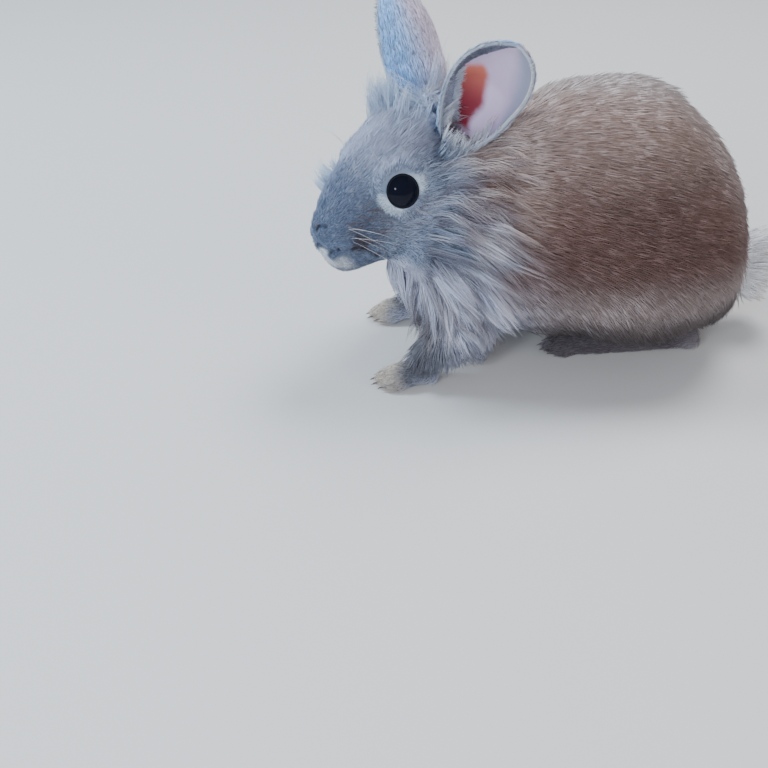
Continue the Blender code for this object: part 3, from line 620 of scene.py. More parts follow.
def along_line(points, line):
    """The distance in mm from each place in the head's frame to a line and its mirror image."""
    mirrored = points * np.array((np.sign(points[:, :1]) + (points[:, :1] == 0)) * (1, 0, 0) + (0, 1, 1))
    found = np.full(len(points), 1e9)
    for start, end in zip(line, line[1:]):
        start, span = np.array(start), np.array(end) - np.array(start)
        t = np.clip((mirrored - start) @ span / (span @ span), 0, 1)
        found = np.minimum(found, np.linalg.norm(mirrored - start - t[:, None] * span, axis=1))
    return found


fine = bmesh.new()
fine.from_mesh(skin.data)
muzzle_edges = set()
into_head = HEAD.inverted()
for one in fine.faces:
    if all((into_head @ vert.co).y < -FINE_MUZZLE * MM for vert in one.verts):
        muzzle_edges.update(one.edges)
bmesh.ops.subdivide_edges(fine, edges=list(muzzle_edges), cuts=2, use_grid_fill=True, smooth=0.6)
fine.to_mesh(skin.data)
fine.free()
points = vectors_of(skin.data, "co")
normals = vectors_of(skin.data, "normal")
in_place = in_head(points)
move = np.zeros(len(points))
for line, width, deep, proud in ((LIPS, 1.1, 2.2, 0.9), (NOSTRIL, 0.8, 1.8, 0.4), (SPLIT, 0.6, 1.0, 0.3)):
    away = along_line(in_place, line)
    move += proud * np.exp(-((away - 2.2) ** 2) / 1.8) - deep * np.exp(-((away / width) ** 2))
move *= in_place[:, 1] < -FINE_MUZZLE - 1
points = points + normals * move[:, None] * MM
skin.data.vertices.foreach_set("co", points.ravel())
skin.data.update()
skin.data.shade_smooth()
print("muzzle edges divided", len(muzzle_edges), "points", len(points))

# %% [markdown]
# The skin carries its own UV map, unwrapped from its shape. Each tuft later takes its root's place
# on this map.

# %% Skin UV map
bpy.context.view_layer.objects.active = skin
skin.select_set(True)
bpy.ops.object.mode_set(mode="EDIT")
bpy.ops.mesh.select_all(action="SELECT")
bpy.ops.uv.smart_project(angle_limit=math.radians(66), island_margin=0.002)
bpy.ops.object.mode_set(mode="OBJECT")
skin.select_set(False)
skin.data.uv_layers.active.name = "SkinUV"
print("UV maps", [layer.name for layer in skin.data.uv_layers])

# %% [markdown]
# The lie of the coat is written on the skin as a direction at each point: back from the nose over
# the head, back along the trunk, down the legs, forward on the toes and out from the tail's root.

# %% Lie of the coat
points = vectors_of(skin.data, "co")
normals = vectors_of(skin.data, "normal")
body_points, head_points = in_body(points), in_head(points)
bx, by, bz = body_points.T
hx, hy, hz = head_points.T


def unit(rows):
    """Each row at length 1."""
    return rows / np.maximum(np.linalg.norm(rows, axis=-1, keepdims=True), 1e-9)


def flow(body_points, head_points):
    """The lie at each place, before it is laid on to the surface."""
    bx, by, bz = body_points.T
    hx, hy, hz = head_points.T
    side = np.sign(bx)
    ones = np.ones_like(by)
    trunk = np.stack([0.15 * side * ones, ones, -0.25 - 1.6 * ease(-bz, -80, -25)], 1)
    low_front = ease(-by, 20, 34) * ease(-bz, -60, -45) * ease(-hz, 14, 24)
    down = np.stack([0.1 * side, -0.15 * np.ones_like(by), -np.ones_like(by)], 1)
    paws = ease(-bz, -16, -11)
    forward = np.stack([0 * by, -np.ones_like(by), -0.1 * np.ones_like(by)], 1)
    nose = head_points - np.array((0, -84, -8))
    over_head = unit(nose) + np.array((0, 0.35, 0))
    over_head = over_head - np.outer(ease(-hz, -4, 22) * ease(-hy, 0, 40), (0, 0, 0.5))
    over_head = over_head @ HEAD_TURN.T
    for _, side in SIDES:
        mirror = Vector((side, 1, 1))
        axis = np.array(EYE_AXIS * mirror)
        out = head_points - np.array(EYE_CENTRE * mirror) / MM
        share = 1 - ease(np.linalg.norm(out, axis=1), 11, 17)[:, None]
        out = unit(out - np.outer(out @ axis, axis)) @ HEAD_TURN.T
        over_head = unit(over_head) * (1 - 0.8 * share) + out * share
    tail = body_points - np.array((1, 108, 40))
    lie = unit(trunk)
    for share, other in ((low_front, down), (paws, forward), (ease(by, 112, 120), tail)):
        lie = lie * (1 - share[:, None]) + unit(other) * share[:, None]
    head_share = ease(-hy, 4, 22) * ease(hz, -38, -26) * ease(-np.abs(hx), -36, -30)
    return unit(lie * (1 - head_share[:, None]) + unit(over_head) * head_share[:, None])


def in_ear(head_points):
    """1 inside the cup at the root of an ear."""
    found = np.zeros(len(head_points))
    for root, run, _, _ in EARS.values():
        away = head_points - np.array(root) / MM
        run = np.array(run.normalized())
        along = away @ run
        aside = np.linalg.norm(away - np.outer(along, run), axis=1)
        found = np.maximum(found, (aside < 6.5) * (along > -4) * (along < 18))
    return found


def write(mesh, name, kind, values):
    """Stores a value for each vertex."""
    layer = mesh.attributes.get(name) or mesh.attributes.new(name, kind, "POINT")
    layer.data.foreach_set("vector" if kind == "FLOAT_VECTOR" else "value", np.ravel(values))


def on_tail(where):
    """1 on the tail and 0 on the rump round it."""
    x, y, z = where
    return (1 - ease(np.sqrt((x - 1) ** 2 + (y - 133) ** 2 + (z - 35) ** 2), 15, 21)) * ease(y, 114, 119)


lie = flow(body_points, head_points)
lie = unit(lie - normals * np.sum(lie * normals, axis=1, keepdims=True))
write(skin.data, "lie", "FLOAT_VECTOR", lie)
on_head = ease(-hy, 4, 18) * ease(hz, -38, -26) * ease(-np.abs(hx), -36, -30)
muzzle = on_head * ease(-hy, 40, 62)
feet = ease(-bz, -20, -12)
tail_zone = on_tail(body_points.T)
cheek = on_head * ease(hy, -44, -18) * ease(-hz, -12, 4)
brow = on_head * ease(hz, 12, 24) * ease(hy, -60, -25)
length = 12.0 + 5.0 * cheek + 2.5 * brow - 7.0 * on_head - 2.0 * muzzle
length = length - 7.5 * feet * (1 - on_head) + 3 * tail_zone
thick = 0.50 - 0.10 * on_head - 0.04 * muzzle - 0.25 * feet * (1 - on_head)
lift = 0.20 + 0.08 * on_head + 0.25 * tail_zone + 0.25 * brow
lips = np.minimum(along_line(head_points, LIPS), along_line(head_points, NOSTRIL))
length = length * (0.35 + 0.65 * ease(lips, 0.8, 7)) + 1.0 * on_head * ease(-lips, -4, -2)
bare = np.maximum(1.0 * (lips < 0.9), in_ear(head_points))
for _, side in SIDES:
    eye = np.array(EYE_CENTRE * Vector((side, 1, 1)) / MM)
    axis = np.array(EYE_AXIS * Vector((side, 1, 1)))
    out = head_points - eye
    away = np.linalg.norm(out, axis=1)
    facing = (out @ axis) / np.maximum(away, 1e-9)
    bare = np.maximum(bare, (away < 13) * (facing > 0.62))
    length = length * (0.5 + 0.5 * ease(away, 10, 16))
write(skin.data, "long", "FLOAT", length * MM)
write(skin.data, "thick", "FLOAT", thick * MM)
write(skin.data, "lift", "FLOAT", lift)
print("lie written for", len(points), "points")

# %% [markdown]
# A tuft is a thin three-sided blade with a bend and a point. Four shapes of it are made, and the
# tree picks among them. The same tree covers every part of the body: it scatters roots, turns each
# blade along the lie, lifts it a little, and gathers neighbours so that the coat parts into locks.


# %% Blades
def blade(name, shares, sway, droop, home):
    """A blade along +Y of length 1 and width 1, pointed at both ends, widest at its first ring."""
    bm = bmesh.new()
    layer = bm.verts.layers.float.new("along")
    place = bm.verts.layers.float_vector.new("patch")

    def point(x, y, z):
        vert = bm.verts.new((x + sway * y * y, y, z + droop * y * y))
        vert[layer], vert[place] = y, (x, y - 0.5, 0)
        return vert

    root, tip = point(0, 0, 0), point(0, 1, 0)
    rings = []
    for k, y in enumerate(shares):
        half = 0.5 * (1 - 0.35 * k)
        rings.append([point(x, y, z) for x, z in ((-half, 0.0), (half, 0.0), (0.0, 0.045))])
    for k in range(3):
        bm.faces.new((root, rings[0][(k + 1) % 3], rings[0][k]))
        bm.faces.new((rings[-1][k], rings[-1][(k + 1) % 3], tip))
    for near, far in zip(rings, rings[1:]):
        for k in range(3):
            bm.faces.new((near[k], near[(k + 1) % 3], far[(k + 1) % 3], far[k]))
    bmesh.ops.triangulate(bm, faces=bm.faces[:])
    bmesh.ops.recalc_face_normals(bm, faces=bm.faces)
    mesh = bpy.data.meshes.new(name)
    bm.to_mesh(mesh)
    bm.free()
    mesh.shade_smooth()
    home.objects.link(bpy.data.objects.new(name, mesh))


SHORT = bpy.data.collections.new("short_blades")
LONG = bpy.data.collections.new("long_blades")
for k, (sway, droop) in enumerate(((0.9, -0.13), (-0.8, -0.10), (0.2, -0.16), (-0.3, -0.07))):
    blade("short_%d" % k, (0.36,), sway, droop, SHORT)
    blade("long_%d" % k, (0.22, 0.62), sway * 1.8, droop, LONG)


# %% [markdown]
# On the animal thousands of hairs grow from the hide. Particle hair could stand for them, but it
# leaves no mesh. A Geometry Nodes tree was chosen: it scatters blades on the hide, keeps a seed, and
# its inputs can be changed for each part of the body. Each tuft takes a small patch of the map.

# %% Coat tree
PATCH = 0.003


def new_tree(name, sockets):
    """A Geometry Nodes tree with named inputs and a mesh output."""
    tree = bpy.data.node_groups.new(name, "GeometryNodeTree")
    tree.interface.new_socket("Geometry", in_out="INPUT", socket_type="NodeSocketGeometry")
    for label, kind in sockets:
        tree.interface.new_socket(label, in_out="INPUT", socket_type=kind)
    tree.interface.new_socket("Geometry", in_out="OUTPUT", socket_type="NodeSocketGeometry")
    graph = Graph(tree)
    start = graph.node("NodeGroupInput")
    given = {socket.name: Value(graph, socket) for socket in start.outputs if socket.name}
    return tree, graph, given


def named(graph, name, kind="FLOAT"):
    """A stored value."""
    return graph.value("GeometryNodeInputNamedAttribute", {"data_type": kind}, {"Name": name})


def chance(graph, kind, low, high, seed):
    """A random value for each root."""
    node = graph.node("FunctionNodeRandomValue", {"data_type": kind})
    sockets = [socket for socket in node.inputs if socket.enabled]
    for socket, value in zip(sockets, (low, high)):
        socket.default_value = value
    graph.feed(node.inputs["Seed"], seed)
    return Value(graph, next(socket for socket in node.outputs if socket.enabled))


def store(graph, geometry, name, kind, domain, value):
    """Keeps a value on the geometry under a name."""
    settings = {"data_type": kind, "domain": domain}
    inputs = {"Geometry": geometry, "Name": name, "Value": value}
    return graph.value("GeometryNodeStoreNamedAttribute", settings, inputs)


def above_floor(graph, place, height):
    """A place, lifted to a height in mm where it lies lower."""
    x, y, z = (graph.out(graph.node("ShaderNodeSeparateXYZ", None, {"Vector": place}), k) for k in range(3))
    return graph.value("ShaderNodeCombineXYZ", None, {"X": x, "Y": y, "Z": z.math("MAXIMUM", height * MM)})


def finish_tree(graph, geometry, fur):
    """Gives the geometry its material and hands it out."""
    painted = graph.value("GeometryNodeSetMaterial", None, {"Geometry": geometry, "Material": fur})
    graph.feed(graph.node("NodeGroupOutput").inputs["Geometry"], painted)


def coat_tree():
    """Scatters blades over a skin along its lie."""
    sockets = (("Density", "NodeSocketFloat"), ("Clump", "NodeSocketFloat"), ("Mottle", "NodeSocketFloat"),
               ("Seed", "NodeSocketInt"), ("Blades", "NodeSocketCollection"), ("Fur", "NodeSocketMaterial"))
    tree, graph, given = new_tree("coat", sockets)
    scatter = graph.node("GeometryNodeDistributePointsOnFaces", None, {
        "Mesh": given["Geometry"], "Density": named(graph, "cover") * given["Density"],
        "Seed": given["Seed"]})
    normal = graph.out(scatter, "Normal")
    place = graph.place()
    gather = graph.noise(place, 160.0, 1.0, "Color")
    gather = gather.vector("SUBTRACT", (0.5, 0.5, 0.5)).vector("SCALE", scale=given["Clump"])
    stray = chance(graph, "FLOAT_VECTOR", (-0.11, -0.11, -0.11), (0.11, 0.11, 0.11), given["Seed"] + 1.0)
    along = named(graph, "lie", "FLOAT_VECTOR").vector("ADD", gather).vector("ADD", stray)
    along = along.vector("ADD", normal.vector("SCALE", scale=named(graph, "lift")))
    turn = graph.node("FunctionNodeAxesToRotation", {"primary_axis": "Y", "secondary_axis": "Z"}, {
        "Primary Axis": along.vector("NORMALIZE"), "Secondary Axis": normal})
    length = named(graph, "long") * chance(graph, "FLOAT", 0.7, 1.2, given["Seed"] + 2.0)
    width = named(graph, "thick") * chance(graph, "FLOAT", 0.65, 1.3, given["Seed"] + 3.0)
    size = graph.value("ShaderNodeCombineXYZ", None, {"X": width, "Y": length, "Z": length})
    roots = store(graph, graph.out(scatter, "Points"), "tone", "FLOAT", "POINT",
                  chance(graph, "FLOAT", 0.0, 1.0, given["Seed"] + 4.0))
    mottle = graph.noise(place, 330.0, 2.0)
    roots = store(graph, roots, "hue", "FLOAT", "POINT", (mottle - 0.5) * given["Mottle"])
    shapes = graph.node("GeometryNodeCollectionInfo", {"transform_space": "ORIGINAL"}, {
        "Collection": given["Blades"], "Separate Children": True, "Reset Children": True})
    copies = graph.node("GeometryNodeInstanceOnPoints", None, {
        "Points": roots, "Instance": graph.out(shapes), "Pick Instance": True,
        "Instance Index": chance(graph, "INT", 0, 3, given["Seed"] + 5.0),
        "Rotation": graph.out(turn), "Scale": size})
    whole = graph.value("GeometryNodeRealizeInstances", None, {"Geometry": graph.out(copies)})
    patch = named(graph, "patch", "FLOAT_VECTOR").vector("SCALE", scale=PATCH)
    patch = named(graph, "SkinUV", "FLOAT_VECTOR").vector("ADD", patch)
    whole = store(graph, whole, "OFBake", "FLOAT2", "CORNER", patch)
    inputs = {"Geometry": whole, "Position": above_floor(graph, place, 0.3)}
    finish_tree(graph, graph.value("GeometryNodeSetPosition", None, inputs), given["Fur"])
    return tree


WORKING = ("SkinUV", "patch", "lie", "long", "thick", "lift", "cover", "share", "across", "start", "plump",
           "spot", "wide", "deep", "reach", "stray")


def run_tree(name, mesh, tree, values):
    """Runs a tree on a mesh and gives a plain mesh object with what it made."""
    source = bpy.data.objects.new(name, mesh)
    bpy.context.scene.collection.objects.link(source)
    modifier = source.modifiers.new("nodes", "NODES")
    modifier.node_group = tree
    for item in tree.interface.items_tree:
        if item.in_out == "INPUT" and item.name in values:
            modifier[item.identifier] = values[item.name]
    bpy.context.view_layer.update()
    made = bpy.data.meshes.new_from_object(source.evaluated_get(bpy.context.evaluated_depsgraph_get()))
    source.modifiers.clear()
    source.data = made
    made.name = name
    made.shade_smooth()
    for attribute in [a.name for a in made.attributes]:
        if attribute in WORKING:
            made.attributes.remove(made.attributes[attribute])
    return source


COAT = coat_tree()


def grow(name, cover, density, clump, mottle, seed, blades, fur):
    """One piece of coat, where cover is above 0. Density is in tufts per square mm."""
    mesh = skin.data.copy()
    write(mesh, "cover", "FLOAT", cover * (1 - bare))
    piece = run_tree(name, mesh, COAT, {
        "Density": density / MM**2, "Clump": clump, "Mottle": mottle, "Seed": seed,
        "Blades": blades, "Fur": fur})
    bpy.data.meshes.remove(mesh)
    print(name, "triangles", len(piece.data.polygons))
    return piece


# %% [markdown]
# The short coat goes on in pieces: face, back of the head, three lengths of trunk on each side,
# legs and tail. Each edge between pieces is soft, so no border shows.

# %% Short coat
coat = {}
rest = (1 - on_head) * (1 - feet) * (1 - tail_zone)
under = 1 - 0.75 * ease(-normals[:, 2], 0.55, 0.85)
left = ease(bx, -2, 2)
fore_head = ease(-hy, 30, 40)
# name, where it grows, tufts per square mm, clump, mottle, seed, blades, fur
PIECES = [
    ("coat_face", on_head * fore_head, 4.1, 0.34, 0.6, 11, SHORT, FUR),
    ("coat_head", on_head * (1 - fore_head), 2.8, 0.44, 0.8, 12, SHORT, FUR),
]
for k, (start, end) in enumerate(((-80, 28), (28, 66), (66, 130))):
    zone = rest * under * ease(by, start - 3, start + 3) * (1 - ease(by, end - 3, end + 3))
    PIECES.append(("coat_left_%d" % k, zone * left, 1.9, 0.36, 0.5, 21 + k, SHORT, FUR))
    PIECES.append(("coat_right_%d" % k, zone * (1 - left), 1.15, 0.36, 0.5, 31 + k, SHORT, FUR))
PIECES.append(("coat_feet", feet * under * (1 - on_head), 1.8, 0.3, 0.5, 41, SHORT, FUR))
PIECES.append(("coat_tail", tail_zone, 1.6, 0.7, 0.3, 42, LONG, TAIL_FUR))
for name, *rest_of_it in PIECES:
    coat[name] = grow(name, *rest_of_it)

# %% [markdown]
# Long hair hangs in locks. Python lays one guide line for each lock: it starts at a root on the
# skin, runs along the lie, rises a little and then gives way to its weight. The second tree turns
# each guide into a bundle of strands that close up towards the tip, so that a lock reads as one.

# %% Guides
SKIN_TREE = BVHTree.FromPolygons(
    [Vector(p) for p in points], [tuple(p.vertices) for p in skin.data.polygons])
DOWN = Vector((0, 0, -1))


def lie_at(point):
    """The lie of the coat near one place."""
    where = np.array(point)[None]
    return Vector(flow(in_body(where), in_head(where))[0])


NEIGHBOURS = [(i, j, k) for i in (-1, 0, 1) for j in (-1, 0, 1) for k in (-1, 0, 1)]


def roots_in(count, spacing, rng, allowed):
    """Scattered roots on the skin where allowed(body place, head place) is above a random value."""
    mesh = skin.data
    area = np.empty(len(mesh.polygons))
    mesh.polygons.foreach_get("area", area)
    centre = np.empty(len(mesh.polygons) * 3)
    mesh.polygons.foreach_get("center", centre)
    centre = centre.reshape(-1, 3)
    on_frames = in_body(centre).T, in_head(centre).T
    weight = area * np.clip(allowed(*on_frames), 0, 1) * (1 - in_ear(on_frames[1].T))
    picks = rng.choice(len(area), size=count * 8, p=weight / weight.sum())
    kept = []
    cells = {}
    for index in picks:
        spot = Vector(centre[index])
        cell = tuple(int(v // spacing) for v in spot)
        around = [cells.get((cell[0] + i, cell[1] + j, cell[2] + k)) for i, j, k in NEIGHBOURS]
        if all(other is None or (other - spot).length > spacing for other in around):
            cells[cell] = spot
            kept.append((index, spot))
        if len(kept) == count:
            break
    return kept


def trace(root, normal, direction, length, rise, weight, steps, cling):
    """One guide: it leaves the skin at a slope, clings to it or hangs free, and sinks under its weight."""
    line = [root - normal * 0.4 * MM]
    place = line[0].copy()
    for k in range(steps):
        share = (k + 0.5) / steps
        out = SKIN_TREE.find_nearest(place)[1]
        along = direction(place)
        along = (along - out * along.dot(out) * cling).normalized()
        heading = along + out * rise * (1 - 1.3 * share) + DOWN * weight * share
        place = place + heading.normalized() * length / steps
        near, out = SKIN_TREE.find_nearest(place)[:2]
        clear = (0.8 + 3.0 * rise * share) * MM
        if (place - near).dot(out) < clear:
            place = near + out * clear
        place.z = max(place.z, 0.6 * MM)
        line.append(place.copy())
    return line


def guide_mesh(name, guides):
    """All guides of one piece as a mesh of edges: lines, widths and the skin's own map."""
    mesh = bpy.data.meshes.new(name)
    places, edges, share, side, start, plump, spot, hues = [], [], [], [], [], [], [], []
    for line, width, where, hue in guides:
        first = len(places)
        for k, place in enumerate(line):
            ahead = line[min(k + 1, len(line) - 1)] - line[max(k - 1, 0)]
            out = SKIN_TREE.find_nearest(place)[1]
            places.append(place)
            share.append(k / (len(line) - 1))
            side.append(ahead.cross(out).normalized())
            start.append(line[0])
            plump.append(width)
            spot.append(where)
            hues.append(hue)
        edges += [(first + k, first + k + 1) for k in range(len(line) - 1)]
    mesh.from_pydata(places, edges, [])
    write(mesh, "share", "FLOAT", share)
    write(mesh, "across", "FLOAT_VECTOR", np.array(side))
    write(mesh, "start", "FLOAT_VECTOR", np.array(start))
    write(mesh, "plump", "FLOAT", plump)
    write(mesh, "hue", "FLOAT", hues)
    write(mesh, "spot", "FLOAT_VECTOR", np.array(spot))
    return mesh


def spots_of(indices):
    """The place of each face on the skin's own map."""
    layer = skin.data.uv_layers["SkinUV"].data
    made = []
    for index in indices:
        corners = skin.data.polygons[index].loop_indices
        made.append(sum((layer[c].uv for c in corners), Vector((0, 0))) / len(corners))
    return [(uv.x, uv.y, 0.0) for uv in made]


def strands_tree():
    """Turns guides into bundles of tapering strands."""
    sockets = (("Strands", "NodeSocketInt"), ("Seed", "NodeSocketInt"), ("Radius", "NodeSocketFloat"),
               ("Fray", "NodeSocketFloat"), ("Fur", "NodeSocketMaterial"))
    tree, graph, given = new_tree("strands", sockets)
    curves = graph.value("GeometryNodeMeshToCurve", None, {"Mesh": given["Geometry"]})
    many = graph.value("GeometryNodeDuplicateElements", {"domain": "SPLINE"}, {
        "Geometry": curves, "Amount": given["Strands"]})
    own = (
        ("wide", -1.0, 1.0), ("deep", -1.0, 1.0), ("reach", 0.72, 1.08), ("tone", 0.0, 1.0), ("stray", -1.0, 1.0))
    for step, (name, low, high) in enumerate(own):
        value = chance(graph, "FLOAT", low, high, given["Seed"] + 1.0 * step)
        many = store(graph, many, name, "FLOAT", "CURVE", value)
    share, plump = named(graph, "share"), named(graph, "plump")
    place = graph.place()
    start = named(graph, "start", "FLOAT_VECTOR")
    across = named(graph, "across", "FLOAT_VECTOR")
    along = graph.value("GeometryNodeInputTangent")
    out = across.vector("CROSS_PRODUCT", along)
    closing = 1 - share * share * 0.5
    stray = named(graph, "stray")
    fray = stray * stray * stray * given["Fray"] * share * share
    run = place.vector("SUBTRACT", start)
    moved = start.vector("ADD", run.vector("SCALE", scale=named(graph, "reach")))
    aside = (named(graph, "wide") * closing + fray) * plump
    moved = moved.vector("ADD", across.vector("SCALE", scale=aside))
    outward = (named(graph, "deep") * closing * 0.45 - fray * 0.5) * plump
    moved = moved.vector("ADD", out.vector("SCALE", scale=outward))
    inputs = {"Geometry": many, "Position": above_floor(graph, moved, 0.7)}
    many = graph.value("GeometryNodeSetPosition", None, inputs)
    taper = (1.04 - share ** 2.2) * (share * 3.0 + 0.45).math("MINIMUM", 1.0)
    radius = taper * given["Radius"] * (named(graph, "tone") * 0.6 + 0.7)
    many = graph.value("GeometryNodeSetCurveRadius", None, {"Curve": many, "Radius": radius})
    inputs = {"Resolution": 3, "Radius": 1.0}
    ring = graph.value("GeometryNodeCurvePrimitiveCircle", {"mode": "RADIUS"}, inputs)
    index = graph.value("GeometryNodeInputIndex")
    ring = store(graph, ring, "around", "FLOAT", "POINT", index * 0.5 - 0.5)
    inputs = {"Curve": many, "Profile Curve": ring, "Fill Caps": True}
    whole = graph.node("GeometryNodeCurveToMesh", None, inputs)
    if "Scale" in whole.inputs:
        graph.feed(whole.inputs["Scale"], radius)
    whole = graph.out(whole)
    patch = graph.value("ShaderNodeCombineXYZ", None, {"X": named(graph, "around"), "Y": share - 0.5})
    patch = named(graph, "spot", "FLOAT_VECTOR").vector("ADD", patch.vector("SCALE", scale=PATCH))
    whole = store(graph, whole, "OFBake", "FLOAT2", "CORNER", patch)
    whole = store(graph, whole, "along", "FLOAT", "POINT", share)
    finish_tree(graph, whole, given["Fur"])
    return tree


STRANDS = strands_tree()


def comb(name, count, spacing, allowed, sizes, strands, seed, direction=lie_at, fur=MANE_FUR, fray=1.5,
         hues=(0, 0), cling=1.0):
    """One piece of long hair. Sizes: length, its spread, width, rise, weight and radius of a hair."""
    length, spread, width, rise, weight, radius = sizes
    rng = np.random.default_rng(seed)
    found = roots_in(count, spacing * MM, rng, allowed)
    spots = spots_of([index for index, _ in found])
    guides = []
    for (index, root), spot in zip(found, spots):
        normal = skin.data.polygons[index].normal
        twist = Matrix.Rotation(rng.uniform(-0.32, 0.32), 3, normal)
        aim = lambda place, twist=twist: twist @ direction(place)
        where = np.array(root)[None]
        height = in_body(where)[0][2]
        room = min(1.0, 0.2 + height / 80) * (1 - 0.3 * float(ease(height, 85, 105))) if cling else 1.0
        long = length * room * (1 + spread * rng.uniform(-1, 1)) * MM
        line = trace(root, normal, aim, long, rise * rng.uniform(0.5, 1.4), weight, 5, cling)
        hue = hues(in_body(where)[0], in_head(where)[0], rng) if callable(hues) else rng.uniform(*hues)
        guides.append((line, width * rng.uniform(0.75, 1.3) * MM, spot, hue))
    mesh = guide_mesh(name, guides)
    piece = run_tree(name, mesh, STRANDS, {
        "Strands": strands, "Seed": seed, "Radius": radius * MM, "Fray": fray, "Fur": fur})
    bpy.data.meshes.remove(mesh)
    print(name, "locks", len(guides), "triangles", sum(len(p.vertices) - 2 for p in piece.data.polygons))
    return piece


# %% [markdown]
# The mane goes all round the neck, from behind the cheeks down to the chest, and thins out over
# the shoulders. Shorter locks rise from the crown between the ears, and hair hangs from the hem
# of the flank and fans out round the tail.

# %% Long coat


def mane_roots(where, head_where):
    """1 on the neck, the rear of the cheeks and the chest."""
    x, y, z = where
    hx, hy, hz = head_where
    off_face = 1 - ease(-hy, 20, 32) * ease(hz, -36, -28) * ease(-np.abs(hx), -32, -27)
    off_crown = 1 - ease(hz, 10, 18) * ease(-hy, -8, 0)
    reach = -14 + 0.22 * np.clip(z - 70, 0, 60)
    return off_face * off_crown * (1 - ease(y, reach - 8, reach + 8)) * ease(z, 30, 46)


def crown_roots(where, head_where):
    """1 on top of the head between brows and ears."""
    hx, hy, hz = head_where
    return ease(hz, 17, 24) * ease(-hy, -4, 2) * (1 - ease(-hy, 30, 44)) * ease(-np.abs(hx), -20, -15)


def hem_roots(where, head_where):
    """1 along the lower edge of the flank."""
    x, y, z = where
    return ease(y, -6, 8) * ease(z, 8, 12) * (1 - ease(z, 26, 40)) * ease(np.abs(x), 24, 34)


def tail_roots(where, head_where):
    """1 on the tail."""
    return on_tail(where)


def hang(place):
    """Down and back, for the hem."""
    return Vector((0.05 if place.x > 0 else -0.05, 0.85, -0.6))


def head_way(x, y, z):
    """One way everywhere, given in the head's frame."""
    return lambda place: HEAD.to_3x3() @ Vector((x, y, z))


def ball_roots(centre, inner, outer, mirrored=False):
    """1 within inner mm of a place of the head's frame, 0 beyond outer mm."""
    def allowed(where, head_where):
        x, y, z = head_where
        x = np.abs(x) if mirrored else x
        away = np.sqrt((x - centre[0]) ** 2 + (y - centre[1]) ** 2 + (z - centre[2]) ** 2)
        return 1 - ease(away, inner, outer)

    return allowed


def wisp_roots(where, head_where):
    """1 round the roots of the ears and over the nape."""
    hx, hy, hz = head_where
    band = ease(hz, 12, 20) * ease(-hy, -16, -10) * (1 - ease(-hy, 8, 14))
    return band * (1 - ease(hx, 2, 8) * ease(-hy, -6, -2))


def cheek_roots(where, head_where):
    """1 below and behind the eyes, up to the mane."""
    hx, hy, hz = head_where
    band = ease(hy, -42, -32) * (1 - ease(hy, -12, -4)) * ease(-hz, -12, -2) * ease(hz, -30, -24)
    return band * ease(np.abs(hx), 12, 17)


def topknot_roots(where, head_where):
    """1 between the ears and in front of the far one."""
    hx, hy, hz = head_where
    band = ease(hz, 22, 27) * ease(-hy, 0, 6) * (1 - ease(-hy, 24, 32))
    return band * ease(-hx, -12, -7) * ease(hx, -22, -17)


def notch_roots(where, head_where):
    """1 at the foot of the opening of each ear."""
    found = 0
    for root, run, opening, _ in EARS.values():
        run = run.normalized()
        spot = (root + (opening - run * opening.dot(run)).normalized() * 8.5 * MM) / MM
        away = np.sqrt(sum((h - v) ** 2 for h, v in zip(head_where, spot)))
        found = np.maximum(found, 1 - ease(away, 3, 8))
    return found


def into_ear(place):
    """Up along the nearer ear."""
    return HEAD.to_3x3() @ EARS["left" if (into_head @ place).x > 0 else "right"][1].normalized()


def mane_hue(where, head_where, rng):
    """Cream and rust over the shoulder, dark streaks at the cheek, and light locks elsewhere."""
    if where[2] > 94:
        return rng.choice((0.35, 0.1, -0.25, -0.65), p=(0.2, 0.3, 0.25, 0.25))
    if head_where[1] < -2 and rng.random() < 0.3:
        return -0.55
    return rng.uniform(-0.15, 0.3)


def one_side(allowed, side):
    """The same roots on one side of the body only."""
    return lambda where, head_where: allowed(where, head_where) * ((where[0] > 0) == (side > 0))


# length in mm, its spread, width, rise, weight and radius of a hair
MANE = (27, 0.3, 1.9, 0.75, 0.45, 0.155)
CHEEK_HAIR, PAD_HAIR = (13, 0.3, 1.3, 0.45, 0.3, 0.12), (9, 0.3, 0.9, 0.3, 0.15, 0.1)
CROWN_HAIR, TOPKNOT = (18, 0.35, 1.2, 0.8, 0.1, 0.13), (21, 0.35, 1.9, 1.1, 0.05, 0.115)
CREST, NOTCH = (16, 0.3, 1.6, 0.8, 0.0, 0.13), (10, 0.3, 1.3, 0.5, 0.0, 0.11)
FAR_TUFT, WISP = (9, 0.3, 2.0, 0.5, 0.0, 0.12), (34, 0.35, 3.0, 1.6, 0.2, 0.08)
HEM, TAIL_HAIR = (13, 0.4, 1.6, 0.3, 0.3, 0.12), (18, 0.35, 2.2, 0.7, 0.6, 0.16)
RISING, AT_CREST = head_way(0, 0.8, 0.6), head_way(-0.2, -0.15, 0.95)
UPWARD, OUTWARD = head_way(-0.05, 0.45, 0.9), head_way(-0.75, -0.1, 0.6)
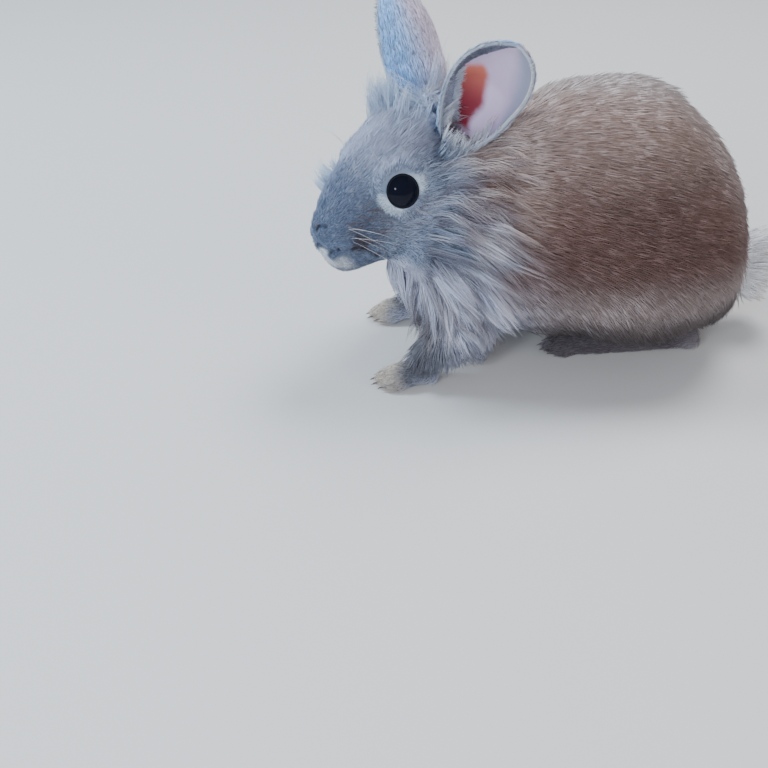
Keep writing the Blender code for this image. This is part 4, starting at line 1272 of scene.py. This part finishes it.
# name, locks, spacing in mm, where, sizes, strands of a lock, seed and what is its own
LOCKS = (
    ("mane_left", 380, 2.5, one_side(mane_roots, 1), MANE, 14, 51, {"hues": mane_hue}),
    ("mane_right", 340, 2.6, one_side(mane_roots, -1), MANE, 10, 52, {"hues": mane_hue}),
    ("cheeks", 230, 2.0, cheek_roots, CHEEK_HAIR, 7, 57, {"fur": FUR, "hues": (-0.3, 0.35)}),
    ("pads", 64, 1.5, ball_roots((16, -60, -3), 4, 10, mirrored=True), PAD_HAIR, 5, 58,
     {"fur": FUR, "hues": (-0.95, -0.1)}),
    ("crown", 150, 1.8, crown_roots, CROWN_HAIR, 9, 53,
     {"direction": RISING, "fur": CREST_FUR, "hues": (-0.2, 0.5)}),
    ("topknot", 110, 1.8, topknot_roots, TOPKNOT, 9, 59,
     {"direction": UPWARD, "fur": CREST_FUR, "fray": 2.5, "hues": (0.1, 0.8), "cling": 0}),
    ("crest", 60, 1.4, ball_roots((-12, -20, 34), 4, 10), CREST, 11, 61,
     {"direction": AT_CREST, "fur": CREST_FUR, "fray": 2.5, "hues": (0.5, 1.0), "cling": 0}),
    ("notch", 44, 1.5, notch_roots, NOTCH, 9, 62,
     {"direction": into_ear, "fur": CREST_FUR, "fray": 2.0, "hues": (0.2, 0.9), "cling": 0}),
    ("far_tuft", 30, 1.3, ball_roots((-12, -56, 10), 4, 9), FAR_TUFT, 12, 60,
     {"direction": OUTWARD, "fur": CREST_FUR, "fray": 2.5, "hues": (0.6, 1.0), "cling": 0}),
    ("wisps", 50, 2.5, wisp_roots, WISP, 6, 56, {"direction": RISING, "hues": (-0.35, 0.5)}),
    ("hem", 340, 2.4, hem_roots, HEM, 7, 54, {"direction": hang, "fur": FUR, "hues": (-0.35, 0.2)}),
    ("tail_hair", 170, 1.6, tail_roots, TAIL_HAIR, 11, 55,
     {"fur": TAIL_FUR, "fray": 2.5, "hues": (0.4, 1)}),
)
for name, count, spacing, allowed, sizes, strands, seed, own in LOCKS:
    coat[name] = comb(name, count, spacing, allowed, sizes, strands, seed, **own)

# %% [markdown]
# The eyes are dark and glossy balls. Each sits in a rim of dark bare lid.

# %% Eyes
EYE = plain_material("eye", (0.004, 0.005, 0.012), 0.06, specular=0.13)
LID = plain_material("lid", (0.012, 0.012, 0.016), 0.75, specular=0.1)


def add_object(name, bm, material):
    """A named piece from a bmesh."""
    bmesh.ops.recalc_face_normals(bm, faces=bm.faces)
    mesh = bpy.data.meshes.new(name)
    bm.to_mesh(mesh)
    bm.free()
    mesh.materials.append(material)
    mesh.shade_smooth()
    obj = bpy.data.objects.new(name, mesh)
    bpy.context.scene.collection.objects.link(obj)
    return obj


eyes = {}
for name, side in SIDES:
    mirror = Vector((side, 1, 1))
    centre = EYE_CENTRE * mirror
    axis = EYE_AXIS * mirror
    bm = bmesh.new()
    centre = centre + axis * EYE_PUSH
    place = HEAD @ Matrix.Translation(centre)
    bmesh.ops.create_uvsphere(bm, u_segments=64, v_segments=40, radius=EYE_SHOWN, matrix=place)
    eyes[name] = add_object("eyeball_" + name, bm, EYE)
    frame_of_eye = axis.to_track_quat("Z", "Y").to_matrix()
    bm = bmesh.new()
    rings = []
    for k in range(49):
        turn = math.tau * k / 48
        out = frame_of_eye @ Vector((math.cos(turn) * 6.7, math.sin(turn) * 7.0, 0)) * MM
        lift = math.sqrt(max(EYE_SHOWN**2 - out.length_squared, 0))
        middle = centre + axis * lift + out
        normal = (middle - centre).normalized()
        rim = out.normalized()
        rings.append([HEAD @ (middle + rim * math.cos(a) * 0.7 * MM + normal * math.sin(a) * 0.5 * MM)
                      for a in (math.tau * j / 8 for j in range(8))])
    add_rings(bm, rings)
    eyes["rim_" + name] = add_object("lid_rim_" + name, bm, LID)
print("eyes", len(eyes))

# %% [markdown]
# An ear is a cup: a tube at its root that opens and flattens towards the tip. It is a sheet bent
# through the profile of the CAD ear, with a wall. Its inside is thin skin, red over the ear canal
# where the blood shows through; that red is partly the skin's own and partly painted light shining
# through the ear, and it carries a painted glow. Its outside wears short fur.

# %% Ears
# share of the length, half width in mm, half of the arc in degrees, lean in mm
EAR_PROFILE = (
    (-0.16, 7.0, 150, 0.0), (0.0, 8.5, 148, 0.0), (0.16, 12.5, 118, 1.5), (0.36, 16.0, 88, 3.5),
    (0.58, 16.6, 68, 5.0), (0.78, 13.5, 55, 5.0), (0.92, 8.0, 42, 4.0), (1.0, 1.6, 30, 3.0),
)
EAR_ROWS = through(EAR_PROFILE, 5)
EAR_COLUMNS = 36


def ear_axes(name):
    """The root, run, opening and sideways axes of an ear, in the head's frame."""
    root, run, opening, _ = EARS[name]
    run = run.normalized()
    opening = (opening - run * opening.dot(run)).normalized()
    return root, run, opening, run.cross(opening)


def ear_point(name, share, around):
    """A place on the sheet of an ear, in the head's frame, and the way into the cup there."""
    root, run, opening, across = ear_axes(name)
    half, arc, lean = (float(np.interp(share, EAR_ROWS[:, 0], EAR_ROWS[:, k])) for k in (1, 2, 3))
    arc = math.radians(arc)
    half *= 1 + (EARS[name][3] - 1) * min(max(share, 0) * 3, 1)
    radius = half / math.sin(min(arc, math.pi / 2)) * MM
    centre = root + run * (EAR_LENGTH * share) - opening * (lean * MM)
    offset = across * math.sin(arc * around) - opening * math.cos(arc * around)
    hollow = opening * (radius * math.cos(arc)) if arc < math.pi / 2 else Vector()
    return centre + offset * radius + hollow, -offset


def ear_skin_material():
    """The inside of the ear, painted by how far up and how far round a point lies; the red channel carries a
    painted glow.
    """
    material, graph, shader = new_material("ear_inside", 0.55, 0.5)
    up, round_ = attribute(graph, "up"), attribute(graph, "around")
    wobble = (graph.noise(graph.place(), 90.0, 3.0) - 0.5) * 0.22
    toward_back = (round_ + up * 0.8 + wobble).step(0.65, 1.25)
    colour = graph.mix(toward_back, (0.66, 0.53, 0.72, 1), (0.34, 0.37, 0.48, 1))
    past = round_ - (up * -1.3 - 0.2).math("MAXIMUM", -0.76) - up.step(0.42, 0.85) * 0.5
    bump = up.step(0.06, 0.2) * up.step(0.56, 0.4) * 0.14
    channel = past.step(0.0, 0.08) * (0.22 - up - round_ + bump + wobble).step(-0.10, 0.10)
    channel = channel * up.step(-0.06, 0.02) * (up + wobble * 0.5).step(0.58, 0.46)
    red = graph.mix(up.step(0.12, 0.55), (0.20, 0.015, 0.03, 1), (0.66, 0.19, 0.12, 1))
    colour = graph.mix(channel, colour, red)
    colour = graph.mix((past + wobble * 0.2).step(0.03, -0.03), colour, ear_band(graph))
    colour = graph.mix(round_.step(0.93, 0.99), colour, (0.85, 0.80, 0.72, 1))
    graph.feed(shader.inputs["Base Color"], colour)
    # The red channel also glows a little: painted glow for light shining through the ear.
    graph.feed(shader.inputs["Emission Color"], graph.mix(channel, (0.03, 0.02, 0.03, 1), red))
    shader.inputs["Emission Strength"].default_value = 0.12
    return material


def ear_band(graph):
    """The fur inside the front edge of an ear: grey-blue low down, dark above."""
    return graph.mix(attribute(graph, "up").step(0.2, 0.5), (0.34, 0.40, 0.50, 1), (0.14, 0.16, 0.22, 1))


def ear_back(graph):
    """Sky blue towards the nose, lavender towards the neck: this is painted light, cool light falling on the side
    towards the nose.
    """
    around = attribute(graph, "around")
    colour = graph.mix(around.step(-0.6, 0.35), (0.29, 0.55, 0.93, 1), (0.68, 0.57, 0.68, 1))
    return graph.mix(around.math("ABSOLUTE").step(0.84, 0.96) * 0.8, colour, (0.45, 0.50, 0.58, 1))


def fringe_tint(graph):
    """Nearly white, all over."""
    return graph.mix(0.0, FRINGE_WHITE, FRINGE_WHITE)


FRINGE_WHITE = (0.78, 0.84, 0.94, 1)
EAR_IN = ear_skin_material()
EAR_OUT = plain_material("ear_outside", (0.24, 0.26, 0.34), 0.8, specular=0.2)
EAR_RIM = plain_material("ear_rim", (0.44, 0.47, 0.54), 0.7, specular=0.2)
EAR_FUR = coat_material("ear_fur", tips=0.25, roots=0.3, tint=ear_back)
LINING = coat_material("ear_lining", tips=0.2, roots=0.3, tint=ear_band)
FRINGE = coat_material("fringe_fur", tips=0.4, roots=0.15, tint=fringe_tint)


def ear_coat(label, sheet, outer, cover, heading, sizes, seed, fur):
    """Short fur on one face of an ear's sheet."""
    mesh = sheet.copy()
    facing = vectors_of(sheet, "normal") * outer
    mesh.vertices.foreach_set("co", (vectors_of(sheet, "co") + facing * 0.7 * MM).ravel())
    if outer < 0:
        mesh.flip_normals()
    mesh.materials.clear()
    heading = unit(heading - facing * np.sum(heading * facing, axis=1, keepdims=True))
    long, thick, density = sizes
    for name, values in (("long", long * MM), ("thick", thick * MM), ("lift", 0.14)):
        write(mesh, name, "FLOAT", values + 0 * cover)
    write(mesh, "cover", "FLOAT", cover)
    write(mesh, "lie", "FLOAT_VECTOR", heading)
    layer = mesh.uv_layers.new(name="SkinUV")
    up, around = (np.array([v.value for v in mesh.attributes[key].data]) for key in ("up", "around"))
    for loop in mesh.loops:
        vertex = loop.vertex_index
        layer.data[loop.index].uv = (0.5 + around[vertex] * 0.45, 0.1 + 0.7 * up[vertex])
    return run_tree(label, mesh, COAT, {
        "Density": density / MM**2, "Clump": 0.3, "Mottle": 0.4, "Seed": seed, "Blades": SHORT, "Fur": fur})


def ear_edge(up):
    """How far round the dark fur inside the front edge of an ear reaches."""
    return np.maximum(-0.2 - 1.3 * up, -0.76) + 0.5 * ease(up, 0.42, 0.85)


QUARTERS = (0, 0.25, 0.5, 0.75, 1)


def ear_hairs(name, side, rng):
    """Guides of an ear: the fringe inside its front edge, the tuft in its notch, rims and back."""
    _, run, opening, _ = ear_axes(name)
    guides = []

    def hair(share, seen, height, along, inward, off, width, hue):
        base, inner = ear_point(name, share, seen * side)
        ahead, _ = ear_point(name, share, (seen + 0.05) * side)
        heading = run * along + (ahead - base).normalized() * inward + inner * off
        heading.normalize()
        bend = inner * 0.2 + run * 0.25
        base = base + inner * (0.6 * MM if off >= 0 else -0.9 * MM)
        line = [HEAD @ (base + heading * height * MM * t + bend * height * MM * t * t) for t in QUARTERS]
        guides.append((line, width * MM, (0.05 + 0.8 * abs(share), 0.95, 0), hue))

    for _ in range(320):
        share = rng.uniform(0.0, 0.46)
        edge = float(ear_edge(share))
        seen = edge + rng.uniform(-0.05, 0.08)
        hair(share, seen, rng.uniform(1.5, 3.4), rng.uniform(0.7, 1.3), 0.5, 0.25, 0.7, 0)
    for _ in range(60):
        seen = rng.uniform(0.6, 0.95) * rng.choice((-1, 1))
        share, height = rng.uniform(0.0, 0.16), rng.uniform(6, 11)
        hair(share, seen, height, 1.0, -0.25 * seen, 0.1, 0.8, rng.uniform(-0.1, 0.3))
    for _ in range(90):
        seen = rng.choice((-0.97, 0.97))
        share, height = rng.uniform(0.12, 0.97), rng.uniform(1.5, 3.0)
        hair(share, seen, height, 0.9, 0.35 * seen, 0.0, 0.5, -0.3 if seen < 0 else 0.1)
    for _ in range(90):
        share = rng.uniform(-0.12, 0.10)
        left, right = ear_point(name, share, -1)[0], ear_point(name, share, 1)[0]
        base = left.lerp(right, rng.uniform(-0.1, 1.1)) + opening * rng.uniform(0.5, 2.0) * MM
        heading = run + (right - left).normalized() * rng.uniform(-0.3, 0.3) + opening * 0.15
        heading = heading * rng.uniform(7, 13) * MM
        line = [HEAD @ (base + heading * t - opening * 3 * MM * t * t) for t in QUARTERS]
        guides.append((line, 0.9 * MM, (0.05, 0.9, 0), rng.uniform(-0.2, 0.2)))
    return guides


# length and width of a tuft in mm, and tufts per square mm
EAR_SIZES, LINING_SIZES = (5.0, 0.42, 2.2), (3.2, 0.40, 3.2)
FRINGE_STRANDS, FRINGE_RADIUS = 4, 0.09 * MM
ears, ear_furs, fringes = {}, {}, {}
for name, side in SIDES:
    _, run, opening, _ = ear_axes(name)
    bm = bmesh.new()
    up_layer = bm.verts.layers.float.new("up")
    around_layer = bm.verts.layers.float.new("around")
    grid = []
    for share in EAR_ROWS[:, 0]:
        line = []
        for k in range(EAR_COLUMNS + 1):
            around = 2 * k / EAR_COLUMNS - 1
            vert = bm.verts.new(HEAD @ ear_point(name, share, around)[0])
            vert[up_layer], vert[around_layer] = share, around * side
            line.append(vert)
        grid.append(line)
    for near, far in zip(grid, grid[1:]):
        for k in range(EAR_COLUMNS):
            bm.faces.new((near[k], far[k], far[k + 1], near[k + 1]))
    bm.normal_update()
    if grid[len(grid) // 2][EAR_COLUMNS // 2].normal.dot(HEAD.to_3x3() @ opening) < 0:
        bmesh.ops.reverse_faces(bm, faces=bm.faces)
    sheet = bpy.data.meshes.new("ear_cup_" + name)
    bm.to_mesh(sheet)
    bm.free()
    ear = bpy.data.objects.new("ear_cup_" + name, sheet)
    bpy.context.scene.collection.objects.link(ear)
    for material in (EAR_IN, EAR_OUT, EAR_RIM):
        sheet.materials.append(material)
    up, around = (np.array([v.value for v in sheet.attributes[key].data]) for key in ("up", "around"))
    heading = np.tile(np.array(HEAD.to_3x3() @ run), (len(up), 1))
    outside = ease(up, -0.1, 0.05) * ease(1.02 - up, 0, 0.06)
    margin = ease(ear_edge(up) - around, -0.03, 0.03) * ease(up, -0.04, 0.02) * ease(1.02 - up, 0, 0.06)
    steps = [
        ear_point(name, u, (a - 0.05) * side)[0] - ear_point(name, u, a * side)[0] for u, a in zip(up, around)]
    to_rim = np.array([HEAD.to_3x3() @ step for step in steps])
    inward = heading * 0.6 + unit(to_rim)
    ear_furs[name] = (
        ear_coat("ear_fur_" + name, sheet, -1, outside, heading, EAR_SIZES, 61, EAR_FUR),
        ear_coat("ear_lining_" + name, sheet, 1, margin, inward, LINING_SIZES, 62, LINING),
    )
    wall = ear.modifiers.new("wall", "SOLIDIFY")
    wall.thickness = EAR_WALL
    wall.offset = 0
    wall.material_offset, wall.material_offset_rim = 1, 2
    bpy.context.view_layer.update()
    solid = bpy.data.meshes.new_from_object(ear.evaluated_get(bpy.context.evaluated_depsgraph_get()))
    ear.modifiers.clear()
    ear.data = solid
    solid.shade_smooth()
    ears[name] = ear
    mesh = guide_mesh("fringe_" + name, ear_hairs(name, side, np.random.default_rng(71)))
    fringes[name] = run_tree("fringe_" + name, mesh, STRANDS, {
        "Strands": FRINGE_STRANDS, "Seed": 72, "Radius": FRINGE_RADIUS, "Fray": 1.5, "Fur": FRINGE})
print("ears", len(ears), "fur", [len(o.data.polygons) for pair in ear_furs.values() for o in pair],
      "fringes", [len(o.data.polygons) for o in fringes.values()])

# %% [markdown]
# Whiskers stand on the pads and over the eyes, each one long hair. Four claws of dark horn come out
# of the fur of each paw, at the toes of the CAD.

# %% Whiskers and claws
WHISKER = plain_material("whisker", (0.58, 0.58, 0.62), 0.4)
HORN = plain_material("horn", (0.10, 0.075, 0.07), 0.35)
WHISKER_RADIUS = 0.07 * MM
rng = np.random.default_rng(81)
guides = []
for _, side in SIDES:
    rows = []
    for _ in range(7):
        base = face((14 + rng.uniform(-2, 2)) * side, -64 + rng.uniform(-4, 4), -3 + rng.uniform(-4, 4))
        heading = Vector((0.7 * side, rng.uniform(0.3, 0.9), rng.uniform(-0.5, 0.15)))
        rows.append((base, heading, rng.uniform(22, 32)))
    for k in range(3):
        base = face((12 + 2 * k) * side, -46 + 2 * k, 21)
        rows.append((base, Vector((0.35 * side, -0.2 - 0.2 * k, 0.9)), 20.0))
    for base, heading, length in rows:
        heading = HEAD.to_3x3() @ heading.normalized()
        line = [base + heading * length * MM * t + DOWN * 3 * MM * t * t for t in np.arange(7) / 6]
        guides.append((line, 0.01 * MM, (0.5, 0.5, 0), 0))
whiskers = run_tree("whiskers", guide_mesh("whiskers", guides), STRANDS, {
    "Strands": 1, "Seed": 82, "Radius": WHISKER_RADIUS, "Fray": 0.0, "Fur": WHISKER})

# toes of each kind of paw: length, width and height of the paw, and how far back each toe stands
TOES = ((-0.33, 0.10), (-0.12, 0.0), (0.12, 0.02), (0.33, 0.14))
PAWS_AT = [((33, -62), 0, (25, 17, 13)), ((-27, -60), 0, (25, 17, 13)),
           ((14, 26), -4, (30, 18, 12)), ((-14, 26), 4, (30, 18, 12))]
bm = bmesh.new()
for (x, y), turn, (length, width, height) in PAWS_AT:
    place = Matrix.Translation(body(x, y, 0)) @ Matrix.Rotation(math.radians(turn), 4, "Z")
    for aside, set_back in TOES:
        rings = []
        for t in (0, 0.3, 0.6, 0.85, 1.0):
            drop = height * 0.33 - 0.6 - 1.6 * t * t
            middle = Vector((aside * width, set_back * length + 1.5 - 5.5 * t, drop)) * MM
            half = 0.95 * (1 - t) ** 0.7 * MM + 0.06 * MM
            rings.append([place @ (middle + Vector((math.cos(a) * half * 0.7, 0, math.sin(a) * half)))
                          for a in (math.tau * j / 8 for j in range(8))])
        add_rings(bm, rings)
claws = add_object("claws", bm, HORN)
print("whiskers", len(guides), "claws", len(TOES) * len(PAWS_AT))

# %% [markdown]
# The stage is a plain pale floor under soft studio light: a cool key from above and behind, and a
# weak warm fill from the camera's side.

# %% Stage
bm = bmesh.new()
bmesh.ops.create_grid(bm, x_segments=1, y_segments=1, size=3)
floor = add_object("floor", bm, plain_material("floor", (0.62, 0.60, 0.58), 0.9, specular=0.2))


def lamp(name, place, target, size, power, colour, mirrored):
    """A soft round lamp, which shows in glossy things only where mirrored is set."""
    data = bpy.data.lights.new(name, "AREA")
    data.shape = "DISK"
    data.size = size
    data.energy = power
    data.color = colour
    obj = bpy.data.objects.new(name, data)
    obj.location = place
    obj.rotation_euler = (Vector(target) - Vector(place)).to_track_quat("-Z", "Y").to_euler()
    obj.visible_glossy = mirrored
    bpy.context.scene.collection.objects.link(obj)


# name, place, target, size, power in W, colour, seen in glossy things
for row in (
    ("key", (-0.35, -0.95, 1.0), (0, 0, 0.05), 0.45, 20, (0.72, 0.86, 1.0), True),
    ("top", (-0.35, 0.35, 1.2), (0, 0, 0.05), 0.6, 14, (0.92, 0.95, 1.0), False),
    ("fill", (0.9, -0.5, 0.5), (0, 0, 0.05), 0.7, 7, (0.74, 0.85, 1.0), False),
    ("warm", (0.7, 0.8, 0.4), (0, 0.05, 0.05), 0.5, 3.2, (1.0, 0.86, 0.76), False),
    ("catch", (0.76, -0.54, 0.58), (0.05, -0.05, 0.1), 0.16, 2.2, (0.9, 0.95, 1.0), True),
):
    lamp(*row)
world = bpy.data.worlds.new("studio")
world.use_nodes = True
world.node_tree.nodes["Background"].inputs["Color"].default_value = (0.76, 0.84, 0.95, 1)
world.node_tree.nodes["Background"].inputs["Strength"].default_value = 0.45
bpy.context.scene.world = world

# %% [markdown]
# Each piece rides on the one body of the still model, and the CAD nodes that it stands for are hidden.

# %% Pieces and nodes
REST = ["neck", "tail"]


def declare(piece, slot, *nodes):
    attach(piece, "root")
    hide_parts(*nodes)


declare(skin, "fur_fawn", *FLESH, *REST)
PAWS = [part + name for part in ("forepaw_", "hind_foot_") for name, _ in SIDES]
SLOTS = {"coat_feet": ("fur_pale", *PAWS), "hem": ("fur_fawn", "torso", "thigh_left", "thigh_right")}
for slot, node, names in (
    ("fur_grey", "head", ("coat_face", "coat_head", "crown", "cheeks", "pads")),
    ("fur_pale", "head", ("topknot", "crest", "notch", "wisps")),
    ("fur_white", "head", ("far_tuft",)),
    ("fur_white", "tail", ("coat_tail", "tail_hair")),
    ("fur_pale", "neck", ("mane_left", "mane_right")),
):
    SLOTS.update({name: (slot, node) for name in names})
for name, piece in coat.items():
    slot, *nodes = SLOTS.get(name, ("fur_fawn", "torso"))
    declare(piece, slot, *nodes)
declare(whiskers, "fur_white", "head")
declare(claws, "eye_dark", *PAWS)
for name, _ in SIDES:
    declare(eyes[name], "eye_dark", "eye_" + name)
    declare(eyes["rim_" + name], "eye_dark", "eye_" + name)
    declare(ears[name], "ear_skin", "ear_" + name)
    for piece in ear_furs[name]:
        declare(piece, "fur_grey", "ear_" + name)
    declare(fringes[name], "fur_pale", "ear_" + name)
for home in (SHORT, LONG):
    for obj in list(home.objects):
        bpy.data.objects.remove(obj)
    bpy.data.collections.remove(home)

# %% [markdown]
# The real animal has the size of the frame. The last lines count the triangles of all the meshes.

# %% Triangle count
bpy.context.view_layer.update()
shown = [obj.data for obj in bpy.data.objects if obj.type == "MESH"]
total = sum(len(p.vertices) - 2 for mesh in shown for p in mesh.polygons)
print("all triangles", total)
